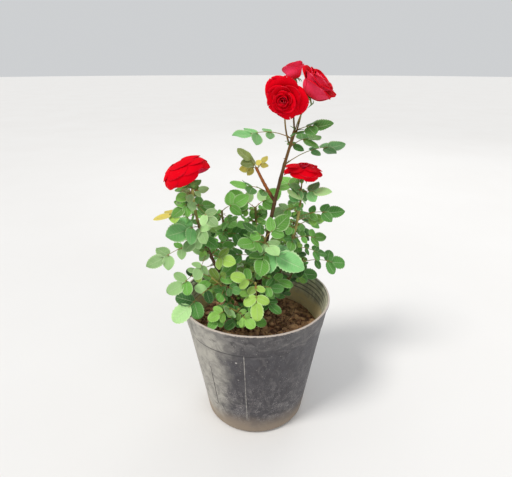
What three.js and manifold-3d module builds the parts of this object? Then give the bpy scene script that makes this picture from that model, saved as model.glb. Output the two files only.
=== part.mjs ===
// A rose bush in its nursery pot: soil, a short main stem, canes, leafy shoots and five open roses.
// Millimetres and degrees, +Z up. The origin is the middle of the pot's underside, and the side that is
// seen in the photograph faces -Y.
import * as THREE from "three";
import { mergeVertices } from "three/addons/utils/BufferGeometryUtils.js";
import Module from "manifold-3d";

const wasm = await Module();
wasm.setup();

// Sizes of the pot and its soil
const potHeight = 200;
const rimRadius = 110;
const footRadius = 76;
const wall = 1.8;
const lipHeight = 4;
const bandHeight = 164;
const bandStep = 0.7;
const soilTop = 149;
const soilEdge = 143;
const soilRoughness = 2.2;
const gap = 0.3;

// Sizes of the main stem, which is short and hidden among the leaves
const stemTop = 173;
const stemKnob = 12.5;
const stemFlare = 14;

// Sizes of the leaves: a blade's width and thickness go with its length
const bladeWidth = 0.78;
const widestPlace = 0.42;
const bladeThickness = 0.045;
const bladeFold = 0.06;
const caneSides = 5;
const rachisRadius = 1.1;
const rachisArch = 0.09;
const stalkSteps = 2;
const firstPair = 0.3;
const pairSpacing = 0.7;
const pairShrink = 0.21;
const leafletSpread = 62;
const leafletDroop = 6;
const endSink = 0.06;
const leafClearance = 0.5;
const leafletChance = { length: 0.07, width: 0.08, spread: 8, droop: 7, twist: 14 };
const fillReach = [42, 68];
const fillBlade = 0.46;
const fillStart = 0.6;
const fillRise = [-12, 30];
const fillLean = [4, 38];
const fillChance = [-12, 12];
const turnPerLeaf = 137.5;
const leafSeeds = 40;
const soilSeed = 99;

// Canes and side shoots. Each one bows from its foot past its elbow to its tip, and is bare up to the
// share "bare" of its way: the rest is the stem of a leafy shoot. "girth" is its radius at foot and tip.
// A row of "leaves" is one compound leaf that shows: its place along the cane from 0 to 1, the way it
// points, its rise, its reach from the cane to its tip, its count of leaflets and its end leaflet's length.
// "lean" turns the leaves' faces to the photographed side, and a row may end with a lean of its own.
// "fill" counts the leaves that a seeded rule adds, between the two directions of "fan". "nod" bends them
// down, so that they show their faces to whoever looks from outside.
const canes = {
  tall: {
    foot: [3, 4, 160], elbow: [12, 14, 302], tip: [50, -10, 440], girth: [3.9, 1.7], bare: 0.79,
    lean: 22, fill: 1, fan: [40, 120],
    leaves: [
      [0.96, -154, 10, 85, 5, 27],
      [0.985, -70, 14, 26, 3, 16],
      [0.99, -20, 20, 52, 3, 26],
      [0.835, 9, 20, 88, 5, 25],
    ],
  },
  old: {
    foot: [26, 6, 343], elbow: [13, 10, 362], tip: [1, 20, 386], girth: [2.4, 1.9], bare: 0,
    lean: 15, fill: 0, fan: [60, 120],
    leaves: [
      [0.2, -157, 24, 66, 5, 28],
      [0.9, 172, 56, 44, 3, 25],
      [0.97, -165, 4, 26, 3, 16, 60],
      [0.93, 40, 44, 26, 3, 14],
    ],
  },
  left: {
    foot: [-5, 1, 160], elbow: [-82, -16, 272], tip: [-81, -25, 368], girth: [2.9, 1.6], bare: 0.38,
    lean: 40, fill: 3, fan: [40, 130],
    leaves: [
      [0.97, -140, -8, 26, 3, 17],
      [0.98, 15, 8, 22, 3, 14],
      [0.845, -146, 2, 58, 5, 22, 8],
      [0.87, 30, 2, 34, 3, 22],
      [0.72, -131, 6, 58, 3, 35],
      [0.68, 38, 22, 34, 3, 22],
      [0.6, -151, -9, 88, 5, 27],
      [0.53, -104, -16, 56, 3, 20],
      [0.43, -133, -8, 86, 5, 26],
      [0.5, -40, 4, 48, 3, 24],
    ],
  },
  right: {
    foot: [6, 4, 160], elbow: [68, 20, 288], tip: [64, 20, 355], girth: [2.7, 1.5], bare: 0.4,
    lean: 40, fill: 3, fan: [60, 150],
    leaves: [
      [0.96, -27, 12, 46, 3, 26],
      [0.92, -112, 24, 48, 3, 30],
      [0.72, -8, 14, 68, 5, 25],
      [0.81, -165, -6, 44, 3, 20],
      [0.62, -146, 32, 40, 3, 22],
      [0.64, 32, 6, 54, 3, 21],
      [0.54, 20, -4, 60, 5, 22],
      [0.47, 12, -14, 66, 5, 20],
      [0.56, -99, -12, 36, 3, 22],
    ],
  },
  middle: {
    foot: [1, -4, 160], elbow: [10, -8, 225], tip: [14, -10, 294], girth: [2.4, 1.4], bare: 0.42,
    lean: 25, fill: 1, fan: [110, 200],
    leaves: [
      [0.84, -28, -6, 66, 3, 44],
      [0.86, -95, -14, 52, 3, 30],
      [0.93, -133, 22, 54, 3, 28],
      [0.94, -64, -4, 38, 3, 26],
      [0.98, 172, 40, 40, 3, 24],
      [0.74, -176, 14, 62, 3, 22],
      [0.6, -150, 4, 52, 5, 22],
      [0.52, -20, 0, 48, 3, 22],
      [0.66, 8, 20, 46, 3, 26],
      [0.99, 8, 44, 46, 3, 26, 70],
    ],
  },
  low_left: {
    foot: [-5, -6, 158], elbow: [-24, -25, 205], tip: [-62, -22, 238], girth: [2.2, 1.3], bare: 0.36,
    lean: 45, fill: 0, fan: [100, 170],
    leaves: [
      [0.86, -137, -18, 87, 5, 32],
      [0.52, -118, -10, 70, 5, 20],
      [0.66, 178, 54, 46, 3, 20, 90],
      [0.5, 40, 62, 52, 3, 26, 100],
      [0.74, -98, 4, 38, 3, 18],
      [0.98, -172, 22, 40, 3, 18, 60],
    ],
  },
  low_front: {
    foot: [1, -8, 158], elbow: [4, -14, 205], tip: [0, -34, 236], girth: [2.2, 1.3], bare: 0.4,
    lean: 10, fill: 0, fan: [60, 120],
    leaves: [
      [0.94, -86, -46, 52, 5, 25],
      [0.66, -45, -16, 48, 5, 20],
      [0.56, -5, 6, 44, 3, 22],
      [0.44, -150, -14, 36, 3, 18],
      [0.84, -14, 4, 42, 3, 20, 50],
      [0.98, -160, 30, 40, 3, 22, 60],
    ],
  },
  low_near: {
    foot: [-3, -9, 153], elbow: [-10, -32, 180], tip: [-34, -50, 204], girth: [2, 1.2], bare: 0.38,
    lean: 40, fill: 0, fan: [60, 120],
    leaves: [
      [0.96, -140, 2, 40, 5, 18],
      [0.8, -55, -4, 40, 5, 18],
      [0.86, 172, -14, 36, 3, 18],
      [0.64, -130, -10, 34, 3, 18],
      [0.56, -30, -6, 36, 3, 18],
      [0.99, -95, 26, 32, 3, 18],
    ],
  },
  low_right: {
    foot: [8, 0, 156], elbow: [40, 2, 205], tip: [72, 16, 250], girth: [2.2, 1.3], bare: 0.45,
    lean: 50, fill: 2, fan: [60, 140],
    leaves: [
      [0.93, 16, -7, 80, 5, 28],
      [0.77, -2, -4, 38, 3, 23],
      [0.62, -90, 12, 36, 3, 22],
      [0.86, -88, 10, 36, 3, 22],
    ],
  },
  back_left: {
    foot: [-6, 7, 160], elbow: [-42, 34, 230], tip: [-50, 42, 316], girth: [2.5, 1.5], bare: 0.36,
    lean: 0, nod: 26, fill: 5, fan: [80, 215],
    leaves: [
      [0.9, -60, 10, 44, 5, 22, 40],
      [0.99, -5, 32, 50, 3, 27, 65],
      [0.78, -15, 8, 46, 3, 24, 60],
    ],
  },
  back_right: {
    foot: [4, 9, 160], elbow: [42, 46, 225], tip: [60, 60, 292], girth: [2.5, 1.5], bare: 0.36,
    lean: 0, nod: 26, fill: 5, fan: [-5, 110], leaves: [],
  },
  back_middle: {
    foot: [0, 8, 162], elbow: [4, 42, 235], tip: [0, 60, 316], girth: [2.5, 1.5], bare: 0.34,
    lean: 0, nod: 26, fill: 5, fan: [40, 145],
    leaves: [
      [0.86, -120, 12, 50, 5, 22, 40],
      [0.99, 5, 36, 48, 3, 26, 65],
      [0.98, 176, 34, 48, 3, 26, 65],
    ],
  },
  back_side: {
    foot: [-8, 2, 155], elbow: [-34, 22, 184], tip: [-66, 46, 226], girth: [2.2, 1.3], bare: 0.4,
    lean: 0, nod: 26, fill: 4, fan: [110, 250],
    leaves: [
      [0.72, -100, 10, 44, 5, 22, 40],
    ],
  },
  back_low: {
    foot: [3, 8, 152], elbow: [10, 52, 180], tip: [22, 80, 232], girth: [2.2, 1.3], bare: 0.4,
    lean: 0, nod: 26, fill: 4, fan: [0, 180], leaves: [],
  },
};

// Roses: the cane that carries the rose's stalk, where that stalk starts on it, its bend, the seat of the
// flower, the way it faces, the radius of its outer petals and how far it has opened from 0 to 1.
const roses = {
  rose_front: {
    cane: "tall", start: [43, -6, 423], bend: [34, -4, 450], seat: [36, -20, 480],
    face: [-0.24, -0.93, -0.16], radius: 28, open: 1,
  },
  rose_behind: {
    cane: "tall", start: [50, -7, 436], bend: [46, 2, 470], seat: [48, 20, 500],
    face: [-0.25, 0.25, 0.93], radius: 21, open: 0.5,
  },
  rose_right: {
    cane: "tall", start: [51.2, -11.6, 437], bend: [58, -9, 458], seat: [66, 2, 481],
    face: [0.72, -0.05, 0.69], radius: 35, open: 0.6,
  },
  rose_left: {
    cane: "left", start: [-81, -25, 367], bend: [-82, -26, 374], seat: [-83, -27, 379],
    face: [-0.4, 0.06, 0.91], radius: 32, open: 0.95,
  },
  rose_low: {
    cane: "right", start: [64, 20, 354], bend: [65, 20, 362], seat: [65, 20, 368],
    face: [0.05, -0.1, 1], radius: 28, open: 0.9,
  },
};
// Whorls of petals, outermost last: each is a thin lobed cup, with its lobes, its lean away from the
// flower's middle line, its share of the outer petals' length and the height of its foot above the seat
const whorls = [
  { lobes: 3, spread: 20, length: 0.7, foot: 0.16 },
  { lobes: 5, spread: 50, length: 0.85, foot: 0.08 },
  { lobes: 5, spread: 88, length: 1, foot: 0 },
];
const facesPerLobe = 3;
const lobeDepth = 0.14;
const petalThickness = 0.05;
const petalCurl = 16;
const floorThickness = 0.13;
const budShare = 0.22;
const budStretch = 1.6;
const budHeight = 0.42;
const whorlTurn = 0.7;
const stalkRadius = 1.4;

const green = { color: 0x5f9a5a, roughness: 0.55, metalness: 0 };
const bark = { color: 0x4d3a1f, roughness: 0.8, metalness: 0 };
const red = { color: 0xd80a22, roughness: 0.5, metalness: 0 };

// Closed solids from geometries, and back

function merge(geometry) {
  geometry.deleteAttribute("normal");
  geometry.deleteAttribute("uv");
  return mergeVertices(geometry);
}

function solidOf(geometry) {
  const merged = merge(geometry);
  return new wasm.Manifold(
    new wasm.Mesh({
      numProp: 3,
      vertProperties: new Float32Array(merged.attributes.position.array),
      triVerts: new Uint32Array(merged.index.array),
    }),
  );
}

function join(solids) {
  return solids.reduce((sum, next) => sum.add(next));
}

function meshOf(name, solid, look) {
  const faces = solid.getMesh();
  const geometry = new THREE.BufferGeometry();
  geometry.setAttribute("position", new THREE.BufferAttribute(faces.vertProperties, 3));
  geometry.setIndex(new THREE.BufferAttribute(faces.triVerts, 1));
  const flat = geometry.toNonIndexed();
  flat.computeVertexNormals();
  const mesh = new THREE.Mesh(flat, new THREE.MeshStandardMaterial(look));
  mesh.name = name;
  return mesh;
}

// The seeded rule's random numbers, from 0 to 1

function seeded(seed) {
  let state = (seed * 7919 + 17) >>> 0;
  return () => {
    state = (Math.imul(state, 1664525) + 1013904223) >>> 0;
    return state / 4294967296;
  };
}

function vector([x, y, z]) {
  return new THREE.Vector3(x, y, z);
}

// A tapering limb: a cylinder whose rings are set along a curve that lies in one plane

function limb(curve, from, to, [startRadius, endRadius], across, sides, steps) {
  const shape = new THREE.CylinderGeometry(1, 1, 1, sides, steps);
  const places = shape.attributes.position;
  for (let i = 0; i < places.count; i += 1) {
    const share = places.getY(i) + 0.5;
    const along = from + (to - from) * share;
    const radius = startRadius + (endRadius - startRadius) * along;
    const beside = across.clone().cross(curve.getTangent(Math.min(along, 1))).normalize();
    const place = curve.getPoint(along);
    place.addScaledVector(across, places.getX(i) * radius);
    place.addScaledVector(beside, places.getZ(i) * radius);
    places.setXYZ(i, place.x, place.y, place.z);
  }
  return shape;
}

// The place on a limb's straight stretches, where its curve is drawn in a few steps

function onLimb(curve, along, steps) {
  const step = Math.min(Math.floor(along * steps), steps - 1);
  return curve.getPoint(step / steps).lerp(curve.getPoint((step + 1) / steps), along * steps - step);
}

function caneCurve({ foot, elbow, tip }) {
  return new THREE.QuadraticBezierCurve3(vector(foot), vector(elbow), vector(tip));
}

function planeNormal(curve) {
  const first = curve.v1.clone().sub(curve.v0);
  return first.cross(curve.v2.clone().sub(curve.v0)).normalize();
}

function canePiece(cane, from, to, swell = 0) {
  const curve = caneCurve(cane);
  const girth = cane.girth.map((radius) => radius + swell);
  const steps = Math.max(2, Math.round((to - from) * 10));
  return solidOf(limb(curve, from, to, girth, planeNormal(curve), caneSides, steps));
}

// A thin pointed blade: an octahedron pressed flat, with its root, its tip, its two sides and the middle
// of its upper and lower face as its six corners. The middle dips, as a leaf does along its rib.

function blade({ root, along, normal, length, width, thickness, dip }) {
  const shape = new THREE.OctahedronGeometry(1);
  const places = shape.attributes.position;
  for (let i = 0; i < places.count; i += 1) {
    const [x, y, z] = [places.getX(i), places.getY(i), places.getZ(i)];
    if (x < -0.5) places.setXYZ(i, 0, 0, 0);
    else if (x > 0.5) places.setXYZ(i, length, -dip, 0);
    else places.setXYZ(i, length * widestPlace, (y * thickness) / 2 - Math.abs(y) * dip, (z * width) / 2);
  }
  const beside = along.clone().cross(normal);
  const place = new THREE.Matrix4().makeBasis(along, normal, beside).setPosition(root);
  return shape.applyMatrix4(place);
}

// The directions of a compound leaf: along its stalk, up from its face and across it

function leafFrame(toward, rise, lean) {
  const turn = THREE.MathUtils.degToRad(toward);
  const lift = THREE.MathUtils.degToRad(rise);
  const heading = new THREE.Vector3(Math.cos(turn), Math.sin(turn), 0);
  const vertical = new THREE.Vector3(0, 0, 1);
  const along = heading.clone().multiplyScalar(Math.cos(lift)).addScaledVector(vertical, Math.sin(lift));
  const up = heading.clone().multiplyScalar(-Math.sin(lift)).addScaledVector(vertical, Math.cos(lift));
  const level = new THREE.Vector3(Math.sin(turn), -Math.cos(turn), 0);
  const roll = THREE.MathUtils.degToRad(level.y > 0 ? -lean : lean);
  return { along, level, normal: up.multiplyScalar(Math.cos(roll)).addScaledVector(level, Math.sin(roll)) };
}

// The leaflets of a compound leaf: one at the end of the stalk and pairs behind it. Each gets its own
// small share of chance in length, spread, droop and twist.

function leafletPlan(leaf) {
  const chance = seeded(leaf.seed);
  const vary = (amount) => (chance() * 2 - 1) * amount;
  const plan = [];
  for (let i = 0; i < leaf.leaflets; i += 1) {
    const pair = Math.ceil(i / 2);
    const hand = i === 0 ? 0 : i % 2 === 0 ? 1 : -1;
    plan.push({
      behind: pair === 0 ? endSink : firstPair + pairSpacing * (pair - 1),
      length: leaf.blade * (1 - pairShrink * pair) * (1 + vary(leafletChance.length)),
      wide: bladeWidth * (1 + vary(leafletChance.width)),
      spread: hand * (leafletSpread + vary(leafletChance.spread)),
      droop: leafletDroop + vary(leafletChance.droop),
      twist: vary(leafletChance.twist),
    });
  }
  return plan;
}

function compoundLeaf(leaf, swell) {
  const { along, level, normal } = leafFrame(leaf.toward, leaf.rise, leaf.lean);
  const stalkLength = leaf.reach - leaf.blade;
  const end = leaf.root.clone().addScaledVector(along, stalkLength);
  const middle = leaf.root.clone().lerp(end, 0.5);
  middle.z += rachisArch * 2 * stalkLength;
  const stalk = new THREE.QuadraticBezierCurve3(leaf.root, middle, end);
  const girth = [rachisRadius * 1.3 + swell, rachisRadius * 0.8 + swell];
  const leaflets = [];
  for (const leaflet of leafletPlan(leaf)) {
    const back = Math.min(leaflet.behind * leaf.blade, stalkLength * 0.8);
    const spread = THREE.MathUtils.degToRad(leaflet.spread);
    const across = normal.clone().cross(along);
    const out = along.clone().multiplyScalar(Math.cos(spread)).addScaledVector(across, Math.sin(spread));
    out.addScaledVector(normal, -Math.sin(THREE.MathUtils.degToRad(leaflet.droop))).normalize();
    const face = normal.clone().addScaledVector(out, -normal.dot(out)).normalize();
    face.applyAxisAngle(out, THREE.MathUtils.degToRad(leaflet.twist));
    const root = onLimb(stalk, 1 - back / stalkLength, stalkSteps);
    leaflets.push(solidOf(blade({
      root,
      along: out,
      normal: face,
      length: leaflet.length + swell * 2,
      width: leaflet.length * leaflet.wide + swell * 2,
      thickness: leaflet.length * bladeThickness + swell * 2,
      dip: leaflet.length * bladeFold,
    })));
  }
  return { stalk: solidOf(limb(stalk, 0, 1, girth, level, 3, stalkSteps)), leaflets: join(leaflets) };
}

// Every leaf of a shoot: those that show, then those of the seeded rule

function leavesOf(cane, index) {
  const curve = caneCurve(cane);
  const chance = seeded(index + 1);
  const between = ([low, high]) => low + (high - low) * chance();
  const shown = cane.leaves.map(([along, toward, rise, reach, leaflets, length, lean]) => (
    { along, toward, rise, reach, leaflets, blade: length, lean: lean ?? cane.lean }
  ));
  const added = [];
  for (let i = 0; i < cane.fill; i += 1) {
    const along = cane.bare + (1 - cane.bare) * ((i + fillStart) / cane.fill);
    const [first, last] = cane.fan;
    const toward = first + (((i * turnPerLeaf) % 360) / 360) * (last - first) + between(fillChance);
    const nod = cane.nod ?? 0;
    const rise = fillRise[0] + (fillRise[1] - fillRise[0]) * along + between(fillChance) - nod;
    const reach = between(fillReach);
    const lean = between(fillLean);
    added.push({ along, toward, rise, reach, leaflets: 3, blade: reach * fillBlade, lean });
  }
  return [...shown, ...added].map((leaf, i) => (
    { ...leaf, root: curve.getPoint(leaf.along), seed: index * leafSeeds + i + 1 }
  ));
}

// The pot: a tapered shell with a lip at its rim, a small step round its side and a rounded foot

function wallRadius(height) {
  const top = rimRadius - wall;
  return footRadius + ((top - footRadius) * height) / potHeight;
}

function turned(profile, segments) {
  const points = profile.map(([radius, height]) => new THREE.Vector2(radius, height));
  return new THREE.LatheGeometry(points, segments).rotateX(Math.PI / 2);
}

function pot() {
  const lipFoot = potHeight - lipHeight;
  return solidOf(turned([
    [0, 0],
    [footRadius - 7, 0],
    [footRadius - 2.5, 1.2],
    [wallRadius(6), 6],
    [wallRadius(bandHeight - 1), bandHeight - 1],
    [wallRadius(bandHeight) + bandStep, bandHeight],
    [wallRadius(lipFoot) + bandStep, lipFoot],
    [rimRadius, lipFoot + 1],
    [rimRadius, potHeight - 0.6],
    [rimRadius - 0.7, potHeight],
    [rimRadius - wall - 0.6, potHeight],
    [wallRadius(lipFoot) - wall, lipFoot - 1],
    [wallRadius(8) - wall, 8],
    [footRadius - 6, 3],
    [0, 3],
  ], 36));
}

// The soil: it fills the pot and its crumbled top is highest round the main stem

function soil() {
  const fit = wall + gap;
  const radii = [stemFlare + 4, 36, 56, 74, wallRadius(soilEdge) - fit];
  const top = radii.map((radius, i) => [radius, soilTop + ((soilEdge - soilTop) * i) / (radii.length - 1)]);
  const filled = merge(turned([
    [0, 3 + gap],
    [footRadius - 7, 3 + gap],
    [wallRadius(8) - fit - 0.3, 9],
    ...top.reverse(),
    [0, soilTop],
  ], 24));
  const chance = seeded(soilSeed);
  const places = filled.attributes.position;
  for (let i = 0; i < places.count; i += 1) {
    const reach = Math.hypot(places.getX(i), places.getY(i));
    const open = reach > radii[0] + 1 && reach < radii[4] - 1 && places.getZ(i) > soilEdge;
    if (open) places.setZ(i, places.getZ(i) + (chance() * 2 - 1) * soilRoughness);
  }
  return solidOf(filled);
}

// The main stem: a knobbly foot that flares to a flat cut at the soil

function mainStem(swell) {
  const foot = soilTop + gap;
  return solidOf(turned([
    [0, foot - swell],
    [stemFlare + swell, foot - swell],
    [stemKnob - 2 + swell, foot + 6],
    [stemKnob + swell, foot + 14],
    [stemKnob - 4 + swell, stemTop - 2 + swell],
    [0, stemTop + swell],
  ], 12));
}

// A whorl of petals about +Z: a cup that widens from its seat, with a lobed rim and cupped lobes

function whorl({ lobes, spread, length, foot }, open) {
  const lean = THREE.MathUtils.degToRad(spread * open);
  const curl = THREE.MathUtils.degToRad(petalCurl);
  const middle = [Math.sin(lean + curl) * 0.55, Math.cos(lean + curl) * 0.55];
  const rim = [Math.sin(lean), Math.cos(lean)];
  const cup = turned([
    [0, 0],
    middle,
    rim,
    [middle[0] - petalThickness * 0.7, middle[1] + petalThickness],
    [0, floorThickness],
  ], lobes * facesPerLobe);
  const places = cup.attributes.position;
  for (let i = 0; i < places.count; i += 1) {
    const [x, y, z] = [places.getX(i), places.getY(i), places.getZ(i)];
    const turn = Math.atan2(y, x);
    const lobe = Math.abs(Math.sin((turn * lobes) / 2));
    const far = Math.hypot(x, y, z);
    const scale = length * (1 - lobeDepth * far * far * (1 - lobe));
    places.setXYZ(i, x * scale, y * scale, z * scale);
  }
  return cup.translate(0, 0, foot);
}

function roseHead(flower) {
  const face = vector(flower.face).normalize();
  const turn = new THREE.Quaternion().setFromUnitVectors(new THREE.Vector3(0, 0, 1), face);
  const seat = vector(flower.seat);
  const bud = new THREE.SphereGeometry(budShare, 6, 3).rotateX(Math.PI / 2);
  bud.scale(1, 1, budStretch).translate(0, 0, budHeight);
  const pieces = [bud, ...whorls.map((ring, i) => whorl(ring, flower.open).rotateZ(i * whorlTurn))];
  return join(pieces.map((piece) => {
    piece.scale(flower.radius, flower.radius, flower.radius).applyQuaternion(turn);
    return solidOf(piece.translate(seat.x, seat.y, seat.z));
  }));
}

function roseStalk(flower) {
  const face = vector(flower.face).normalize();
  const end = vector(flower.seat).addScaledVector(face, flower.radius * floorThickness);
  const curve = new THREE.QuadraticBezierCurve3(vector(flower.start), vector(flower.bend), end);
  return solidOf(limb(curve, 0, 1, [stalkRadius, stalkRadius * 0.9], planeNormal(curve), 4, 3));
}

// Everything that stands before the leaves grow: each name with its solid

function limbsFor(names) {
  const standing = new Map([["pot", pot()], ["soil", soil()], ["main_stem", mainStem(0)]]);
  for (const name of names) {
    const cane = canes[name];
    const carrier = name === "old" ? canePiece(canes.tall, 0, canes.tall.bare, gap) : mainStem(gap);
    const slit = gap / 2 / caneCurve(cane).getLength();
    if (cane.bare > 0) standing.set(`cane_${name}`, canePiece(cane, 0, cane.bare - slit).subtract(carrier));
    const stem = canePiece(cane, cane.bare > 0 ? cane.bare + slit : 0, 1);
    standing.set(`shoot_${name}`, cane.bare > 0 ? stem : stem.subtract(carrier));
  }
  return standing;
}

function addRoses(standing) {
  for (const [name, flower] of Object.entries(roses)) {
    const cane = canes[flower.cane];
    const carrier = canePiece(cane, 0.5, 1 + gap / caneCurve(cane).getLength(), gap);
    standing.set(name, roseHead(flower).add(roseStalk(flower)).subtract(carrier));
  }
}

// A leaf grows only where it stays clear of all that already stands. Stalks may meet at their own stem.

function touches(one, other) {
  return !one.intersect(other).isEmpty();
}

function growLeaves(standing, names) {
  names.forEach((name, index) => {
    const own = `shoot_${name}`;
    const others = [...standing].filter(([other]) => other !== own).map(([, solid]) => solid);
    const leaves = [];
    for (const plan of leavesOf(canes[name], index)) {
      const leaf = compoundLeaf(plan, 0);
      const space = compoundLeaf(plan, leafClearance);
      const blocked = others.some((other) => touches(space.leaflets, other) || touches(space.stalk, other));
      const crowded = leaves.some((other) => (
        touches(space.leaflets, other.leaflets) || touches(space.leaflets, other.stalk)
        || touches(space.stalk, other.leaflets)
      ));
      if (!blocked && !crowded) leaves.push(leaf);
    }
    standing.set(own, join([standing.get(own), ...leaves.flatMap((leaf) => [leaf.stalk, leaf.leaflets])]));
  });
}

function lookOf(name) {
  if (name === "pot") return { color: 0x6b696a, roughness: 0.7, metalness: 0 };
  if (name === "soil") return { color: 0x4a3327, roughness: 0.95, metalness: 0 };
  if (name.startsWith("rose_")) return red;
  return name.startsWith("shoot_") ? green : bark;
}

const names = Object.keys(canes);
const standing = limbsFor(names);
addRoses(standing);
growLeaves(standing, names);

const roseBush = new THREE.Group();
roseBush.name = "rose_bush";
for (const [name, solid] of standing) roseBush.add(meshOf(name, solid, lookOf(name)));

export default roseBush;
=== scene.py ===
"""A potted rose bush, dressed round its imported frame.

Each operator makes one piece or group of like pieces, and the panel lists them in the order of making.
"""
import math

import bpy
import numpy as np
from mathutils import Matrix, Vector, kdtree, noise


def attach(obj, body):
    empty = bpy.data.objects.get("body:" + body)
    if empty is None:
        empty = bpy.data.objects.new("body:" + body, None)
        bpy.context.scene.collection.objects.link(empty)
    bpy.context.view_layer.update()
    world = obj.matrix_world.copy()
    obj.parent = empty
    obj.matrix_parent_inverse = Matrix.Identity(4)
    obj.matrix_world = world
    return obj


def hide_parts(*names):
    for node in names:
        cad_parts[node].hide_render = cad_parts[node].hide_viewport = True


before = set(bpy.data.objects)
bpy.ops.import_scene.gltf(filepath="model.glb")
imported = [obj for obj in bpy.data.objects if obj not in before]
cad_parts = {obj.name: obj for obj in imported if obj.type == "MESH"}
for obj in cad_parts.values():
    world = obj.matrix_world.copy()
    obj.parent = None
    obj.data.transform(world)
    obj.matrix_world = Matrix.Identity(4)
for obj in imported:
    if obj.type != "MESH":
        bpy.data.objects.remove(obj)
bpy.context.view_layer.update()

bl_info = {
    "name": "Potted rose bush",
    "version": (1, 0, 0),
    "blender": (4, 5, 0),
    "location": "View3D > Sidebar > Rose bush",
    "description": "Models a rose bush in its nursery pot, with its canes, leaves and open roses",
    "category": "Add Mesh",
}

MM = 0.001
BODY = "root"

# Sizes of the solids, in millimetres and degrees: the same values as the part's source
POT_HEIGHT = 200
RIM_RADIUS = 110
FOOT_RADIUS = 76
WALL = 1.8
LIP_HEIGHT = 4
BAND_HEIGHT = 164
BAND_STEP = 0.7
SOIL_TOP = 149
SOIL_EDGE = 143
STEM_TOP = 173
STEM_KNOB = 12.5
STEM_FLARE = 14
BLADE_WIDTH = 0.78
BLADE_FOLD = 0.06
STALK_RADIUS = 1.1
STALK_ARCH = 0.09
STALK_STEPS = 2
FIRST_PAIR = 0.3
PAIR_SPACING = 0.7
PAIR_SHRINK = 0.21
LEAFLET_SPREAD = 62
LEAFLET_DROOP = 6
END_SINK = 0.06
CHANCE_LENGTH = 0.07
CHANCE_WIDTH = 0.08
CHANCE_SPREAD = 8
CHANCE_DROOP = 7
CHANCE_TWIST = 14
FILL_REACH = (42, 68)
FILL_BLADE = 0.46
FILL_START = 0.6
FILL_RISE = (-12, 30)
FILL_LEAN = (4, 38)
FILL_CHANCE = (-12, 12)
TURN_PER_LEAF = 137.5
LEAF_SEEDS = 40

# What only the scene uses: how near to a leaflet's tip the mass has a point, in metres, how far along a
# cane its young leaves go, the height below which leaflets are blunt and the lean of the single leaves
TIP_MATCH = 0.0004
YOUNG_END = {"front": 0.86, "back": 1.0}
BLUNT_BELOW = 262
MORE_LEAN = 40

# How thick a leaf's stalk is at its foot, as a share of the source's, and how much of that its end loses
STALK_SHARE = 0.62
YOUNG_STALK_SHARE = 0.45
STALK_TAPER = 0.28

# How much the side of the pot wanders in and out, how wide its waves are and how high its round foot is
WALL_WARP = 0.7
WARP_HEIGHT = 70
WARP_TURNS = 2.2
ROUND_FOOT = 40

# A dent in the pot's side and the pale speck in it, the heights of the rings inside the rim and the radians
# of their pattern in a metre
DENT = (-26, -98, 148)
SPECK = (-26, -97.5, 148)
RING_HEIGHTS = (192, 185, 178, 171)
RING_WAVES = 897.6

# The soil: its gap to the wall, its rings from the edge inwards, how far its edge goes down to the first
# ring below, the height of its flat foot and the count of straws on it
SOIL_FIT = 0.3
SOIL_RINGS = 44
SOIL_RING_WIDTH = 2.1
SOIL_EDGE_DROP = 30
SOIL_FOOT = 4
STRAWS = 26

# Canes, prickles and petals: the length of a cane's steps, how much a knot swells and over what share of
# the cane, how far apart prickles are and how thick a petal is
CANE_STEP = 2.2
KNOT_SWELL = 0.42
KNOT_SHARE = 0.014
PRICKLE_SPACING = 16
PETAL_THICKNESS = 0.5

# Seeds of the makers' own streams of random numbers
CLOD_SEED = 41
ROSE_SEED = 60
TINT_SEED = 300
PRICKLE_SEED = 700
YOUNG_SEED = 900
YOUNG_LEAF_SEED = 5000
MORE_LEAF_SEED = 9000

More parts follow.
